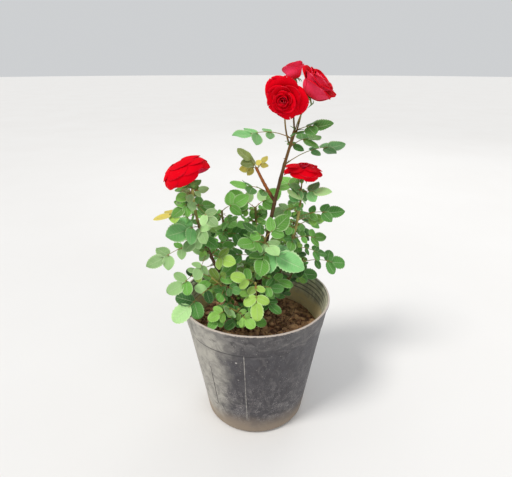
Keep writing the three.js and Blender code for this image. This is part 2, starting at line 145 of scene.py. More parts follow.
# Canes: foot, elbow, tip, girth at foot and tip, the bare share, the lean of the leaves, how far those that
# the rule adds nod, their count and their fan, the count of young leaves, and the tint of the added leaves.
# A row of leaves: place along the cane, heading, rise, reach, leaflets, end leaflet, tint and own lean.
CANES = {
    "tall": dict(
        foot=(3, 4, 160), elbow=(12, 14, 302), tip=(50, -10, 440), girth=(3.9, 1.7), bare=0.79,
        lean=22, fill=1, fan=(40, 120), young=0, tint="dark",
        leaves=[
            (0.96, -154, 10, 85, 5, 27, "blue"),
            (0.985, -70, 14, 26, 3, 16, "dark"),
            (0.99, -20, 20, 52, 3, 26, "dark"),
            (0.835, 9, 20, 88, 5, 25, "blue"),
        ],
    ),
    "old": dict(
        foot=(26, 6, 343), elbow=(13, 10, 362), tip=(1, 20, 386), girth=(2.4, 1.9), bare=0,
        lean=15, fill=0, fan=(60, 120), young=0, tint="mid",
        leaves=[
            (0.2, -157, 24, 66, 5, 28, "dark"),
            (0.9, 172, 56, 44, 3, 25, "olive"),
            (0.97, -165, 4, 26, 3, 16, "yellow", 60),
            (0.93, 40, 44, 26, 3, 14, "yellow"),
        ],
    ),
    "left": dict(
        foot=(-5, 1, 160), elbow=(-82, -16, 272), tip=(-81, -25, 368), girth=(2.9, 1.6), bare=0.38,
        lean=40, fill=3, fan=(40, 130), young=4, tint="mid",
        leaves=[
            (0.97, -140, -8, 26, 3, 17, "pale"),
            (0.98, 15, 8, 22, 3, 14, "mid"),
            (0.845, -146, 2, 58, 5, 22, "turning", 8),
            (0.87, 30, 2, 34, 3, 22, "mid"),
            (0.72, -131, 6, 58, 3, 35, "blue"),
            (0.68, 38, 22, 34, 3, 22, "pale"),
            (0.6, -151, -9, 88, 5, 27, "pale"),
            (0.53, -104, -16, 56, 3, 20, "pale"),
            (0.43, -133, -8, 86, 5, 26, "sunlit"),
            (0.5, -40, 4, 48, 3, 24, "lime"),
        ],
    ),
    "right": dict(
        foot=(6, 4, 160), elbow=(68, 20, 288), tip=(64, 20, 355), girth=(2.7, 1.5), bare=0.4,
        lean=40, fill=3, fan=(60, 150), young=7, tint="mid",
        leaves=[
            (0.96, -27, 12, 46, 3, 26, "crest"),
            (0.92, -112, 24, 48, 3, 30, "pale"),
            (0.72, -8, 14, 68, 5, 25, "dark"),
            (0.81, -165, -6, 44, 3, 20, "mid"),
            (0.62, -146, 32, 40, 3, 22, "mid"),
            (0.64, 32, 6, 54, 3, 21, "mid"),
            (0.54, 20, -4, 60, 5, 22, "mid"),
            (0.47, 12, -14, 66, 5, 20, "dark"),
            (0.56, -99, -12, 36, 3, 22, "dark"),
        ],
    ),
    "middle": dict(
        foot=(1, -4, 160), elbow=(10, -8, 225), tip=(14, -10, 294), girth=(2.4, 1.4), bare=0.42,
        lean=25, fill=1, fan=(110, 200), young=6, tint="dark",
        leaves=[
            (0.84, -28, -6, 66, 3, 44, "blue"),
            (0.86, -95, -14, 52, 3, 30, "mid"),
            (0.93, -133, 22, 54, 3, 28, "mid"),
            (0.94, -64, -4, 38, 3, 26, "pale"),
            (0.98, 172, 40, 40, 3, 24, "dark"),
            (0.74, -176, 14, 62, 5, 22, "dark"),
            (0.6, -150, 4, 52, 5, 22, "lime"),
            (0.52, -20, 0, 48, 5, 22, "mid"),
            (0.66, 8, 20, 46, 3, 26, "dark"),
            (0.99, 8, 44, 46, 3, 26, "mid", 70),
        ],
    ),
    "low_left": dict(
        foot=(-5, -6, 158), elbow=(-24, -25, 205), tip=(-62, -22, 238), girth=(2.2, 1.3), bare=0.36,
        lean=45, fill=0, fan=(100, 170), young=4, tint="dark",
        leaves=[
            (0.86, -137, -18, 87, 5, 32, "dappled"),
            (0.52, -118, -10, 70, 5, 20, "mid"),
            (0.66, 178, 54, 46, 3, 20, "lime", 90),
            (0.5, 40, 62, 52, 3, 26, "lime", 100),
            (0.74, -98, 4, 38, 3, 18, "dark"),
            (0.98, -172, 22, 40, 3, 18, "deep", 60),
        ],
    ),
    "low_front": dict(
        foot=(1, -8, 158), elbow=(4, -14, 205), tip=(0, -34, 236), girth=(2.2, 1.3), bare=0.4,
        lean=10, fill=0, fan=(60, 120), young=4, tint="mid",
        leaves=[
            (0.94, -86, -46, 52, 5, 25, "lime"),
            (0.66, -45, -16, 48, 5, 20, "dark"),
            (0.56, -5, 6, 44, 3, 22, "dark"),
            (0.44, -150, -14, 36, 3, 18, "dark"),
            (0.84, -14, 4, 42, 3, 20, "dark", 50),
            (0.98, -160, 30, 40, 3, 22, "lime", 60),
        ],
    ),
    "low_near": dict(
        foot=(-3, -9, 153), elbow=(-10, -32, 180), tip=(-34, -50, 204), girth=(2, 1.2), bare=0.38,
        lean=40, fill=0, fan=(60, 120), young=4, tint="dark",
        leaves=[
            (0.96, -140, 2, 40, 5, 18, "young"),
            (0.8, -55, -4, 40, 5, 18, "young"),
            (0.86, 172, -14, 36, 5, 18, "dark"),
            (0.64, -130, -10, 34, 3, 18, "dark"),
            (0.56, -30, -6, 36, 3, 18, "dark"),
            (0.99, -95, 26, 32, 3, 18, "pale"),
        ],
    ),
    "low_right": dict(
        foot=(8, 0, 156), elbow=(40, 2, 205), tip=(72, 16, 250), girth=(2.2, 1.3), bare=0.45,
        lean=50, fill=2, fan=(60, 140), young=3, tint="dark",
        leaves=[
            (0.93, 16, -7, 80, 5, 28, "dark"),
            (0.77, -2, -4, 38, 3, 23, "dark"),
            (0.62, -90, 12, 36, 3, 22, "dark"),
            (0.86, -88, 10, 36, 3, 22, "dark"),
        ],
    ),
    "back_left": dict(
        foot=(-6, 7, 160), elbow=(-42, 34, 230), tip=(-50, 42, 316), girth=(2.5, 1.5), bare=0.36,
        lean=0, nod=26, fill=5, fan=(80, 215), young=13, tint="mid",
        leaves=[
            (0.9, -60, 10, 44, 5, 22, "mid", 40),
            (0.99, -5, 32, 50, 3, 27, "mid", 65),
            (0.78, -15, 8, 46, 3, 24, "dark", 60),
        ],
    ),
    "back_right": dict(
        foot=(4, 9, 160), elbow=(42, 46, 225), tip=(60, 60, 292), girth=(2.5, 1.5), bare=0.36,
        lean=0, nod=26, fill=5, fan=(-5, 110), young=14, tint="dark",
        leaves=[],
    ),
    "back_middle": dict(
        foot=(0, 8, 162), elbow=(4, 42, 235), tip=(0, 60, 316), girth=(2.5, 1.5), bare=0.34,
        lean=0, nod=26, fill=5, fan=(40, 145), young=14, tint="mid",
        leaves=[
            (0.86, -120, 12, 50, 5, 22, "mid", 40),
            (0.99, 5, 36, 48, 3, 26, "mid", 65),
            (0.98, 176, 34, 48, 3, 26, "mid", 65),
        ],
    ),
    "back_side": dict(
        foot=(-8, 2, 155), elbow=(-34, 22, 184), tip=(-66, 46, 226), girth=(2.2, 1.3), bare=0.4,
        lean=0, nod=26, fill=4, fan=(110, 250), young=10, tint="mid",
        leaves=[
            (0.72, -100, 10, 44, 5, 22, "mid", 40),
        ],
    ),
    "back_low": dict(
        foot=(3, 8, 152), elbow=(10, 52, 180), tip=(22, 80, 232), girth=(2.2, 1.3), bare=0.4,
        lean=0, nod=26, fill=4, fan=(0, 180), young=12, tint="dark",
        leaves=[],
    ),
}

# Single leaves that the scene adds where the crown would be thin: place along the cane, heading, rise,
# reach, end leaflet and tint
MORE_LEAVES = {
    "left": [
        (0.92, -144, 0, 28, 22, "pale"),
        (0.92, -132, -20, 40, 20, "mid"),
        (0.74, -72, -20, 40, 24, "pale"),
        (0.89, -48, -20, 52, 20, "pale"),
        (0.53, -180, 20, 28, 22, "pale"),
        (0.68, -120, -20, 40, 20, "pale"),
        (0.65, -36, -20, 28, 22, "dark"),
    ],
    "right": [
        (1.0, -120, -20, 28, 24, "blue"),
    ],
    "middle": [
        (0.84, 144, 40, 40, 22, "mid"),
    ],
    "low_left": [
        (0.9, 24, 40, 40, 26, "mid"),
    ],
    "back_left": [
        (0.78, 60, 60, 28, 24, "mid"),
    ],
    "back_middle": [
        (0.88, 48, 20, 28, 24, "mid"),
    ],
}

# Roses: where the stalk starts, its bend, the seat, the way the flower faces, its outer petals' length,
# their count, the turn of their spiral, how far they have opened, how wide the foot flares and up to what
# share of a petal, how far the belly leans, how far the petals bend back and how soon that starts from the
# heart outwards, how wavy their rims are, how much longer they are on one side and on which, how long the
# innermost ones are, how broad they all are and how crimped their rims are. A domed rose has that as its
# core, with more petals outside that lie down over each other: how high their dome is, their count, how
# far their tips stand off, how large the core is beside the dome and how high it sits
ROSES = {
    "rose_front": dict(
        start=(43, -6, 423), bend=(34, -4, 450), seat=(36, -20, 480), face=(-0.24, -0.93, -0.16),
        radius=26, petals=20, turn=20, open=1, flare=62, swell=0.34, belly=66, reflex=0.75, spread=1.3,
        ruffle=0.07, skew=0.16, long_side=10, heart=0.6, breadth=1.16, crimp=0.06,
    ),
    "rose_behind": dict(
        start=(50, -7, 436), bend=(46, 2, 470), seat=(50, 20, 499), face=(-0.2, 0.25, 0.95),
        radius=22, petals=16, turn=100, open=0.5, flare=64, swell=0.6, belly=12, reflex=0.15, spread=1.5,
        ruffle=0.015, skew=0, long_side=0, heart=0.7, breadth=1.1,
    ),
    "rose_right": dict(
        start=(51.2, -11.6, 437), bend=(58, -9, 458), seat=(66, 2, 481), face=(0.62, -0.24, 0.75),
        radius=35, petals=20, turn=-35, open=0.75, flare=66, swell=0.6, belly=28, reflex=0.35, spread=1.5,
        ruffle=0.025, skew=0, long_side=0, heart=0.66, breadth=1.1,
    ),
    "rose_left": dict(
        start=(-81, -25, 367), bend=(-82, -26, 374), seat=(-82, -27, 379), face=(-0.44, 0.16, 0.88),
        radius=29, petals=14, turn=10, open=0.85, flare=60, swell=0.4, belly=60, reflex=0.6, spread=1.1,
        ruffle=0.012, skew=0.22, long_side=215, heart=0.6, breadth=1.1, dome=0.66, outer=17, perk=0.02,
        core=0.84, core_rise=0.27,
    ),
    "rose_low": dict(
        start=(64, 20, 354), bend=(65, 20, 362), seat=(65, 20, 371), face=(0.08, 0.02, 1),
        radius=23, petals=14, turn=40, open=0.9, flare=58, swell=0.34, belly=56, reflex=0.3, spread=1.5,
        ruffle=0.09, skew=0, long_side=0, heart=0.6, breadth=1, dome=0.46, outer=17, perk=0.1,
        core=0.84, core_rise=0.2,
    ),
}

# Tints of the leaves, in the order of their pieces, with pale as painted light and dark and deep as painted
# shade, those with a faint edge and those of crimped leaflets
TINTS = ("mid", "pale", "blue", "dark", "lime", "yellow", "olive", "young", "deep")
FAINT_EDGE_TINTS = ("dark", "olive", "young", "deep")
CRIMPED_TINTS = ("yellow", "olive")
CRIMP = 1.6

# How pale a leaflet's veins, rib and edge are, from its own colour at 0 to the margin's at 1
VEIN_PALENESS = 0.13
RIB_PALENESS = 0.36
EDGE_PALENESS = 0.6
FAINT_EDGE_PALENESS = 0.25

# Now and then a leaflet of one of the source's leaves has another tint than its spray
SWAP_CHANCE = 0.12
TINT_SWAPS = {"mid": "pale", "dark": "mid", "pale": "mid", "lime": "mid"}

# Sprays whose leaflets differ, from the end leaflet back: pale leaflets are painted light and dark and deep
# ones painted shade, as in the sunlit and dappled sprays
SPRAYS = {
    "turning": ("yellow", "yellow", "lime", "lime", "lime"),
    "sunlit": ("pale", "pale", "mid", "pale", "lime"),
    "dappled": ("pale", "deep", "dark", "pale", "deep"),
    "crest": ("pale", "blue", "blue"),
}

# Bracts at the stalks of the roses: place and the way that each points
BRACTS = (
    ((49, -12, 441), (-0.5, -0.4, 0.75)),
    ((53, -12, 440), (0.8, -0.4, 0.4)),
    ((44, -10, 425), (-0.7, -0.6, 0.5)),
    ((70, 12, 358), (0.6, -0.5, 0.6)),
    ((60, 14, 357), (-0.6, -0.6, 0.5)),
)

# Which bark a cane has, where it isn't brown
BARKS = {
    "tall": "tall", "old": "old", "left": "green", "right": "light", "low_front": "green",
    "low_left": "green", "low_near": "green",
}


def shade(red, green, blue):
    """A colour given as it looks on a screen, from 0 to 255, as the linear light that a shader takes."""
    return tuple(round((part / 255) ** 2.2, 4) for part in (red, green, blue))


def tint_property(name, text, colour):
    """A colour that a user may change."""
    return bpy.props.FloatVectorProperty(
        name=name, description=text, subtype="COLOR", size=3, min=0, max=1, default=shade(*colour),
    )


def size_property(name, text, size):
    """A size in millimetres that a user may change."""
    return bpy.props.FloatProperty(
        name=name, description=text, default=size * MM, unit="LENGTH", precision=4,
    )


class RosePotSettings(bpy.types.PropertyGroup):
    """Sizes and colours of the nursery pot and its soil"""
    rib_depth: size_property("Rib depth", "How far the rings inside the rim stand in", 0.5)
    seam_width: size_property("Seam width", "Width of the mould seam down the side", 1.1)
    clod_size: size_property("Clod size", "Radius of the largest crumbs of soil", 6)
    clods: bpy.props.IntProperty(name="Clods", description="Count of loose crumbs on the soil", default=2600)
    plastic: tint_property("Plastic", "Weathered plastic of the pot", (62, 59, 63))
    # Pale dust, also laid on the pot's lit left side as painted light
    dust: tint_property("Dust", "Pale dust on the pot's side", (172, 168, 158))
    splash: tint_property("Splash", "Dried earth at the pot's foot", (152, 136, 118))
    rim: tint_property("Rim", "Worn edge of the rim", (182, 170, 160))
    inside: tint_property("Inside", "Dusty inner wall", (222, 220, 192))
    soil: tint_property("Soil", "Dry potting soil", (182, 142, 106))
    damp: tint_property("Damp soil", "Damp soil between the clods", (104, 76, 56))


class RoseWoodSettings(bpy.types.PropertyGroup):
    """Sizes and colours of the canes and stalks"""
    relief: size_property("Bark relief", "Depth of the bark's furrows", 0.28)
    prickle: size_property("Prickle", "Length of the longest prickle", 3.6)
    bark: tint_property("Bark", "Old brown bark", (88, 64, 46))
    tan: tint_property("Tan wood", "Orange-brown wood of the old cane", (150, 86, 38))
    green: tint_property("Green wood", "Young green cane", (172, 166, 90))
    stalk: tint_property("Leaf stalk", "Stalks of the leaves", (134, 140, 78))
    cork: tint_property("Main stem", "Cork of the main stem", (92, 74, 56))


class RoseLeafSettings(bpy.types.PropertyGroup):
    """Tints of the leaves, dealt out spray by spray; pale, dark and deep paint light and shade"""
    mid: tint_property("Mid green", "Most of the leaves", (106, 167, 68))
    # Pale is painted light and dark and deep are painted shade: lit and shaded copies of the leaf green
    pale: tint_property("Pale green", "Leaves in the sun", (154, 195, 126))
    blue: tint_property("Blue green", "Broad older leaves", (112, 172, 102))
    dark: tint_property("Dark green", "Leaves in the shade", (70, 126, 48))
    lime: tint_property("Lime green", "Fresh low leaves", (144, 182, 74))
    yellow: tint_property("Yellow", "Fading leaflets", (208, 192, 84))
    olive: tint_property("Olive", "Oldest leaves", (116, 130, 66))
    young: tint_property("Young green", "Smallest leaves near the tips", (128, 178, 74))
    deep: tint_property("Deep green", "Low leaves under the others", (42, 88, 34))
    margin: tint_property("Margin", "Pale edge of a leaflet", (196, 218, 168))


class RosePetalSettings(bpy.types.PropertyGroup):
    """Colours of the petals and their calyx"""
    face: tint_property("Petal face", "Inner side of a petal", (226, 0, 30))
    back: tint_property("Petal back", "Outer side of a petal", (253, 68, 105))
    rim: tint_property("Petal rim", "Pale rolled rim of a petal", (224, 30, 56))
    deep: tint_property("Petal depth", "Velvety shade deep in the flower", (128, 0, 12))
    sepal: tint_property("Sepal", "Sepals and hip under the flower", (118, 152, 78))


class RoseStageSettings(bpy.types.PropertyGroup):
    """Camera, light and floor"""
    focal: bpy.props.FloatProperty(name="Lens", description="Focal length in millimetres", default=29.53)
    pitch: bpy.props.FloatProperty(
        name="Pitch", description="How far the camera looks down", subtype="ANGLE",
        default=math.radians(22.7),
    )
    eye: bpy.props.FloatVectorProperty(
        name="Eye", description="Place of the camera", subtype="XYZ", unit="LENGTH",
        default=(0.001, -0.549, 0.518),
    )
    key: bpy.props.FloatProperty(name="Key light", description="Power of the main lamp", default=1.9)
    fill: bpy.props.FloatProperty(name="Fill light", description="Power of the fill lamp", default=7)
    sky: bpy.props.FloatProperty(name="Sky", description="Strength of the light all round", default=0.64)


def settings(name):
    """The values that the user has in one group."""
    return getattr(bpy.context.scene, name)


# Shader arithmetic


class Wire:
    """A socket that takes part in plain sums. Each sum adds the Math node that works it out."""

    def __init__(self, finish, socket):
        self.finish = finish
        self.socket = socket

    def _math(self, operation, first, second=None):
        sockets = {0: first} if second is None else {0: first, 1: second}
        return self.finish.node("ShaderNodeMath", {"operation": operation}, sockets)

    def __add__(self, other):
        return self._math("ADD", self, other)

    __radd__ = __add__

    def __sub__(self, other):
        return self._math("SUBTRACT", self, other)

    def __rsub__(self, other):
        return self._math("SUBTRACT", other, self)

    def __mul__(self, other):
        return self._math("MULTIPLY", self, other)

    __rmul__ = __mul__

    def __abs__(self):
        return self._math("ABSOLUTE", self)

    def clamped(self):
        """Between 0 and 1."""
        return self._math("MINIMUM", self._math("MAXIMUM", self, 0.0), 1.0)

    def between(self, low, high):
        """0 below low, 1 above high and a smooth step from one to the other."""
        return self.finish.node(
            "ShaderNodeMapRange", {"interpolation_type": "SMOOTHSTEP"},
            {"Value": self, "From Min": low, "From Max": high},
        )


class Finish:
    """A material under construction: one Principled shader and what feeds it."""

    def __init__(self, name, roughness, specular):
        self.material = bpy.data.materials.new(name)
        self.material.use_nodes = True
        self.tree = self.material.node_tree
        self.tree.nodes.clear()
        out = self.tree.nodes.new("ShaderNodeOutputMaterial")
        self.shader = self.tree.nodes.new("ShaderNodeBsdfPrincipled")
        self.tree.links.new(self.shader.outputs[0], out.inputs[0])
        self.shader.inputs["Roughness"].default_value = roughness
        self.shader.inputs["Specular IOR Level"].default_value = specular

    def node(self, kind, choices=None, sockets=None, output=0):
        """Adds a node, sets its choices, then fills its sockets with values or wires."""
        made = self.tree.nodes.new(kind)
        for name, value in (choices or {}).items():
            setattr(made, name, value)
        for name, value in (sockets or {}).items():
            self.fill(made.inputs[name], value)
        return Wire(self, made.outputs[output])

    def fill(self, socket, value):
        """Links what varies to a socket, or sets what doesn't."""
        if isinstance(value, Wire):
            self.tree.links.new(value.socket, socket)
        elif socket.type == "RGBA":
            socket.default_value = (*value[:3], 1)
        else:
            socket.default_value = value

    def feed(self, name, value):
        """Fills a socket of the shader."""
        self.fill(self.shader.inputs[name], value)

    def mix(self, factor, first, second, way="MIX"):
        """Blends two colours."""
        return self.node(
            "ShaderNodeMix", {"data_type": "RGBA", "blend_type": way, "clamp_factor": True},
            {0: factor, 6: first, 7: second}, output=2,
        )

    def place(self):
        """Object coordinates, in metres."""
        return self.node("ShaderNodeTexCoord", output=3)

    def part(self, vector, axis):
        """One of a vector's three parts."""
        return self.node("ShaderNodeSeparateXYZ", None, {0: vector}, output=axis)

    def attribute(self, name):
        """What a piece's mesh stores at its points under that name."""
        return self.node("ShaderNodeAttribute", {"attribute_name": name}, None, output=1)

    def grain(self, size, detail=3.0, rough=0.55, stretch=None, distortion=0.0):
        """Noise from about 0.3 to 0.7, with features of about that size in metres."""
        vector = self.place()
        if stretch:
            vector = self.node("ShaderNodeMapping", None, {"Vector": vector, "Scale": stretch})
        return self.node("ShaderNodeTexNoise", None, {
            "Vector": vector, "Scale": 1 / size, "Detail": detail, "Roughness": rough,
            "Distortion": distortion,
        })

    def sine(self, angle):
        """The sine of an angle in radians."""
        return self.node("ShaderNodeMath", {"operation": "SINE"}, {0: angle})

    def relief(self, height, distance, strength=1.0):
        """Raises the surface by that height times the distance."""
        self.feed("Normal", self.node(
            "ShaderNodeBump", None, {"Height": height, "Distance": distance, "Strength": strength}, output=0,
        ))


def pot_finish(name, inner=False):
    """Weathered plastic: dust with painted light on the lit left side, drips, scuffs, stains, a painted
    shade line under the step and a splashed foot.
    """
    tones = settings("rose_pot")
    made = Finish(name, roughness=0.6, specular=0.4)
    place = made.place()
    x, z = made.part(place, 0), made.part(place, 2)
    cloud = made.grain(0.045, detail=6, rough=0.62, distortion=0.5)
    blotch = made.grain(0.016, detail=6, rough=0.65, distortion=0.8)
    fine = made.grain(0.0035, detail=6, rough=0.7)
    if inner:
        return inner_wall_finish(made, tones, z, cloud, blotch, fine)
    # The pot's left as it is seen, where the key lamp shines, is paler with dust and painted light, and the
    # right keeps the dark plastic
    side = (-0.02 - x + (cloud - 0.5) * 0.09).between(0.0, 0.055)
    upper = (z + (cloud - 0.5) * 0.08).between(0.15, 0.19)
    colour = made.mix(blotch.between(0.38, 0.66), tuple(tones.plastic), shade(72, 70, 74))
    # Dust on the upper part, and dust with painted light on the lit left side
    dust_and_painted_light = (side + upper * 0.08) * (0.55 + blotch.between(0.35, 0.6) * 0.45)
    colour = made.mix(dust_and_painted_light, colour, tuple(tones.dust))
    drips = made.grain(0.01, detail=5, stretch=(1.0, 1.0, 0.4), distortion=1.2).between(0.5, 0.72)
    colour = made.mix(drips * 0.16, colour, shade(150, 145, 140))
    bands = made.grain(0.012, detail=5, stretch=(0.35, 0.35, 1.3), distortion=1.1).between(0.5, 0.7)
    colour = made.mix(bands * z.between(0.15, 0.17) * 0.3, colour, shade(158, 154, 150))
    # Fine curling scuffs stay below the middle, most of them near the seam
    curls = made.grain(0.006, detail=3, rough=0.6, distortion=3.2)
    scuffs = 1 - (abs(curls - 0.5) * 34.0).clamped()
    low = (1 - z.between(0.075, 0.12)) * z.between(0.012, 0.04) * blotch.between(0.42, 0.6)
    colour = made.mix(scuffs * low * 0.85, colour, shade(196, 188, 184))
    specks = made.grain(0.0022, detail=2, rough=0.6).between(0.66, 0.72)
    colour = made.mix(specks * 0.5, colour, shade(188, 184, 176))
    stains = made.grain(0.02, detail=5, rough=0.68, distortion=1.4).between(0.57, 0.7)
    colour = made.mix(stains * 0.6, colour, shade(44, 42, 45))
    # Painted shade: a dark line just under the step of the band, where its ledge shades the side
    line = (1 - (abs(z - 0.1626 + (cloud - 0.5) * 0.003) * 600.0).clamped()) * cloud.between(0.3, 0.46)
    colour = made.mix(line * 0.85, colour, shade(34, 32, 35))
    # A pale speck where the side was hit
    speck = tuple(part * MM for part in SPECK)
    away = made.node("ShaderNodeVectorMath", {"operation": "DISTANCE"}, {0: place, 1: speck}, output=1)
    colour = made.mix(1 - away.between(0.0008, 0.0026), colour, shade(206, 202, 196))
    foot = 1 - (z + (cloud - 0.5) * 0.03).between(0.006, 0.046)
    colour = made.mix(foot * 0.8, colour, tuple(tones.splash))
    worn = (z + (fine - 0.5) * 0.004).between(0.1985, 0.1994)
    colour = made.mix(worn, colour, tuple(tones.rim))
    made.feed("Base Color", colour)
    made.feed("Roughness", 0.46 + dust_and_painted_light * 0.3 + foot * 0.2 + (fine - 0.5) * 0.2)
    made.relief(blotch * 0.5 + scuffs * low * 0.1 + fine * 0.14, 0.0012)
    return made.material


def inner_wall_finish(made, tones, z, cloud, blotch, fine):
    """A dusty wall with darker rings below the rim, and dried earth above the soil."""
    colour = made.mix(blotch.between(0.4, 0.62), tuple(tones.inside), shade(184, 182, 160))
    wave = made.sine(z * RING_WAVES + (blotch - 0.5) * 1.6)
    rings = wave.between(0.1, 0.9) * z.between(0.163, 0.17)
    colour = made.mix(rings * 0.62, colour, shade(98, 98, 90))
    earth = 1 - (z + (cloud - 0.5) * 0.03).between(0.158, 0.172)
    colour = made.mix(earth * 0.85, colour, shade(226, 206, 156))
    pale = made.grain(0.006, detail=4, stretch=(0.3, 0.3, 1.0)).between(0.55, 0.72)
    colour = made.mix(pale * 0.5, colour, shade(196, 192, 170))
    made.feed("Base Color", colour)
    made.relief(fine * 0.4 - rings * 0.8, 0.0009)
    return made.material


def soil_finish():
    """Dry soil with damp patches and painted shade in the dark gaps between its crumbs."""
    tones = settings("rose_pot")
    made = Finish("crumbly_soil", roughness=0.95, specular=0.2)
    patches = made.grain(0.02, detail=5)
    crumbs = made.grain(0.0032, detail=5, rough=0.7)
    colour = made.mix(patches.between(0.38, 0.6), tuple(tones.damp), tuple(tones.soil))
    colour = made.mix(crumbs.between(0.52, 0.7) * 0.7, colour, shade(176, 136, 102))
    # Painted shade: near black in the gaps between the fine crumbs
    colour = made.mix(crumbs.between(0.34, 0.5), shade(38, 25, 20), colour)
    bright = made.grain(0.026, detail=3, distortion=0.6).between(0.56, 0.68)
    colour = made.mix(bright * 0.5, colour, shade(146, 92, 62))
    made.feed("Base Color", colour)
    made.relief(crumbs, 0.003)
    return made.material


def clod_finish(name, colour, second):
    """A crumb of soil with paler grit on it."""
    made = Finish(name, roughness=0.95, specular=0.2)
    grit = made.grain(0.0016, detail=4, rough=0.7)
    patches = made.grain(0.011, detail=3)
    tone = made.mix(patches.between(0.4, 0.6), colour, second)
    made.feed("Base Color", made.mix(grit.between(0.45, 0.7) * 0.5, tone, shade(150, 116, 92)))
    made.relief(grit, 0.0012)
    return made.material


def bark_finish(name, low, high, turn=0.5):
    """Bark whose colour goes from low to high along the cane, read from its own attribute."""
    made = Finish(name, roughness=0.62, specular=0.35)
    along = made.part(made.attribute("cane"), 0)
    blotch = made.grain(0.009, detail=5, distortion=0.8)
    furrow = made.grain(0.0022, detail=5, rough=0.65, stretch=(1.0, 1.0, 0.22))
    step = (along + (blotch - 0.5) * 0.22).between(turn - 0.14, turn + 0.16)
    colour = made.mix(step, low, high)
    colour = made.mix(furrow.between(0.5, 0.68) * 0.55, colour, shade(58, 42, 28))
    colour = made.mix(blotch.between(0.58, 0.74) * 0.4, colour, shade(150, 122, 84))
    made.feed("Base Color", colour)
    made.feed("Roughness", 0.5 + furrow * 0.35)
    made.relief(furrow + blotch * 0.4, 0.0008)
    return made.material


def leaf_finish(name, colour, edge_paleness):
    """A leaflet: pale rib, side veins, a pale margin and its own random share of painted light or shade."""
    margin = tuple(settings("rose_leaf").margin)
    made = Finish(name, roughness=0.5, specular=0.3)
    blade = made.attribute("blade")
    along = made.part(blade, 0)
    across = abs(made.part(blade, 1))
    tone = made.part(blade, 2)
    mottle = made.grain(0.006, detail=4)
    # Painted light and shade: a shaded and a lit copy of the colour, mixed by the leaflet's random tone
    dark = tuple(part * 0.62 for part in colour)
    light = tuple(min(part * 1.3 + 0.02, 1) for part in colour)
    body = made.mix(tone.between(0.0, 1.0), dark, light)
    body = made.mix(mottle.between(0.45, 0.66) * 0.35, body, colour)
    rib = 1 - across.between(0.0, 0.09)
    wave = made.sine((along - across * 0.22) * 44.0)
    veins = wave.between(0.72, 1.0) * (1 - across.between(0.6, 0.95))
    body = made.mix(veins * VEIN_PALENESS, body, margin)
    body = made.mix(rib * RIB_PALENESS, body, margin)
    edge = across.between(0.8, 1.0) * edge_paleness
    made.feed("Base Color", made.mix(edge, body, margin))
    made.feed("Roughness", 0.42 + mottle * 0.2)
    made.relief(veins * -1.0 - rib, 0.0004, strength=0.7)
    return made.material


def petal_finish(name, colour, deep, pale, paleness=0.3):
    """A petal's face or back: darker with painted shade towards its foot and on inner petals, with fine
    lengthwise veins.
    """
    made = Finish(name, roughness=0.75, specular=0.04)
    petal = made.attribute("petal")
    along = made.part(petal, 0)
    across = made.part(petal, 1)
    tone = made.part(petal, 2)
    mottle = made.grain(0.007, detail=3)
    veins = made.node("ShaderNodeTexNoise", {"noise_dimensions": "2D"}, {
        "Vector": made.node("ShaderNodeMapping", None, {"Vector": petal, "Scale": (1.6, 26.0, 1.0)}),
        "Scale": 1.0, "Detail": 3.0,
    })
    # Painted shade: the colour deepens towards the petal's foot, and more by the petal's random tone
    body = made.mix((along + (mottle - 0.5) * 0.2).between(0.1, 0.6), deep, colour)
    body = made.mix(tone.between(0.0, 1.0) * 0.4, body, deep)
    body = made.mix(veins.between(0.52, 0.7) * 0.3 * paleness, body, pale)
    edge = (along + abs(across) * 0.1).between(0.95, 1.08)
    made.feed("Base Color", made.mix(edge * paleness, body, pale))
    made.relief(veins + mottle * 0.6, 0.0005, strength=0.5)
    return made.material


def plain_finish(name, colour, second, size=0.004, roughness=0.6):
    """Two colours in small blotches."""
    made = Finish(name, roughness=roughness, specular=0.35)
    mottle = made.grain(size, detail=4)
    made.feed("Base Color", made.mix(mottle.between(0.4, 0.62), colour, second))
    made.relief(mottle, size * 0.12)
    return made.material


# Small vector tools, in millimetres


def seeded(seed):
    """The source's own stream of random numbers, from 0 to 1."""
    state = (seed * 7919 + 17) & 0xFFFFFFFF

    def draw():
        nonlocal state
        state = (state * 1664525 + 1013904223) & 0xFFFFFFFF
        return state / 4294967296
    return draw


def unit(vector):
    """The vector, one long."""
    vector = np.asarray(vector, float)
    return vector / np.linalg.norm(vector)


def bezier(points, along):
    """Points of a quadratic curve, for one place along it or an array of them."""
    start, middle, end = (np.asarray(p, float) for p in points)
    t = np.asarray(along, float)[..., None]
    return (1 - t) ** 2 * start + 2 * t * (1 - t) * middle + t ** 2 * end


def heading(points, along):
    """The way that a quadratic curve goes at one place along it, or at an array of them."""
    start, middle, end = (np.asarray(p, float) for p in points)
    t = np.asarray(along, float)[..., None]
    slope = 2 * (1 - t) * (middle - start) + 2 * t * (end - middle)
    return slope / np.linalg.norm(slope, axis=-1, keepdims=True)


def turned_about(vector, axis, angle):
    """The vector turned about an axis, by an angle in radians."""
    axis = unit(axis)
    return (
        vector * math.cos(angle) + np.cross(axis, vector) * math.sin(angle)
        + axis * np.dot(axis, vector) * (1 - math.cos(angle))
    )


def curve_of(cane):
    """The three points of a cane's curve."""
    return cane["foot"], cane["elbow"], cane["tip"]


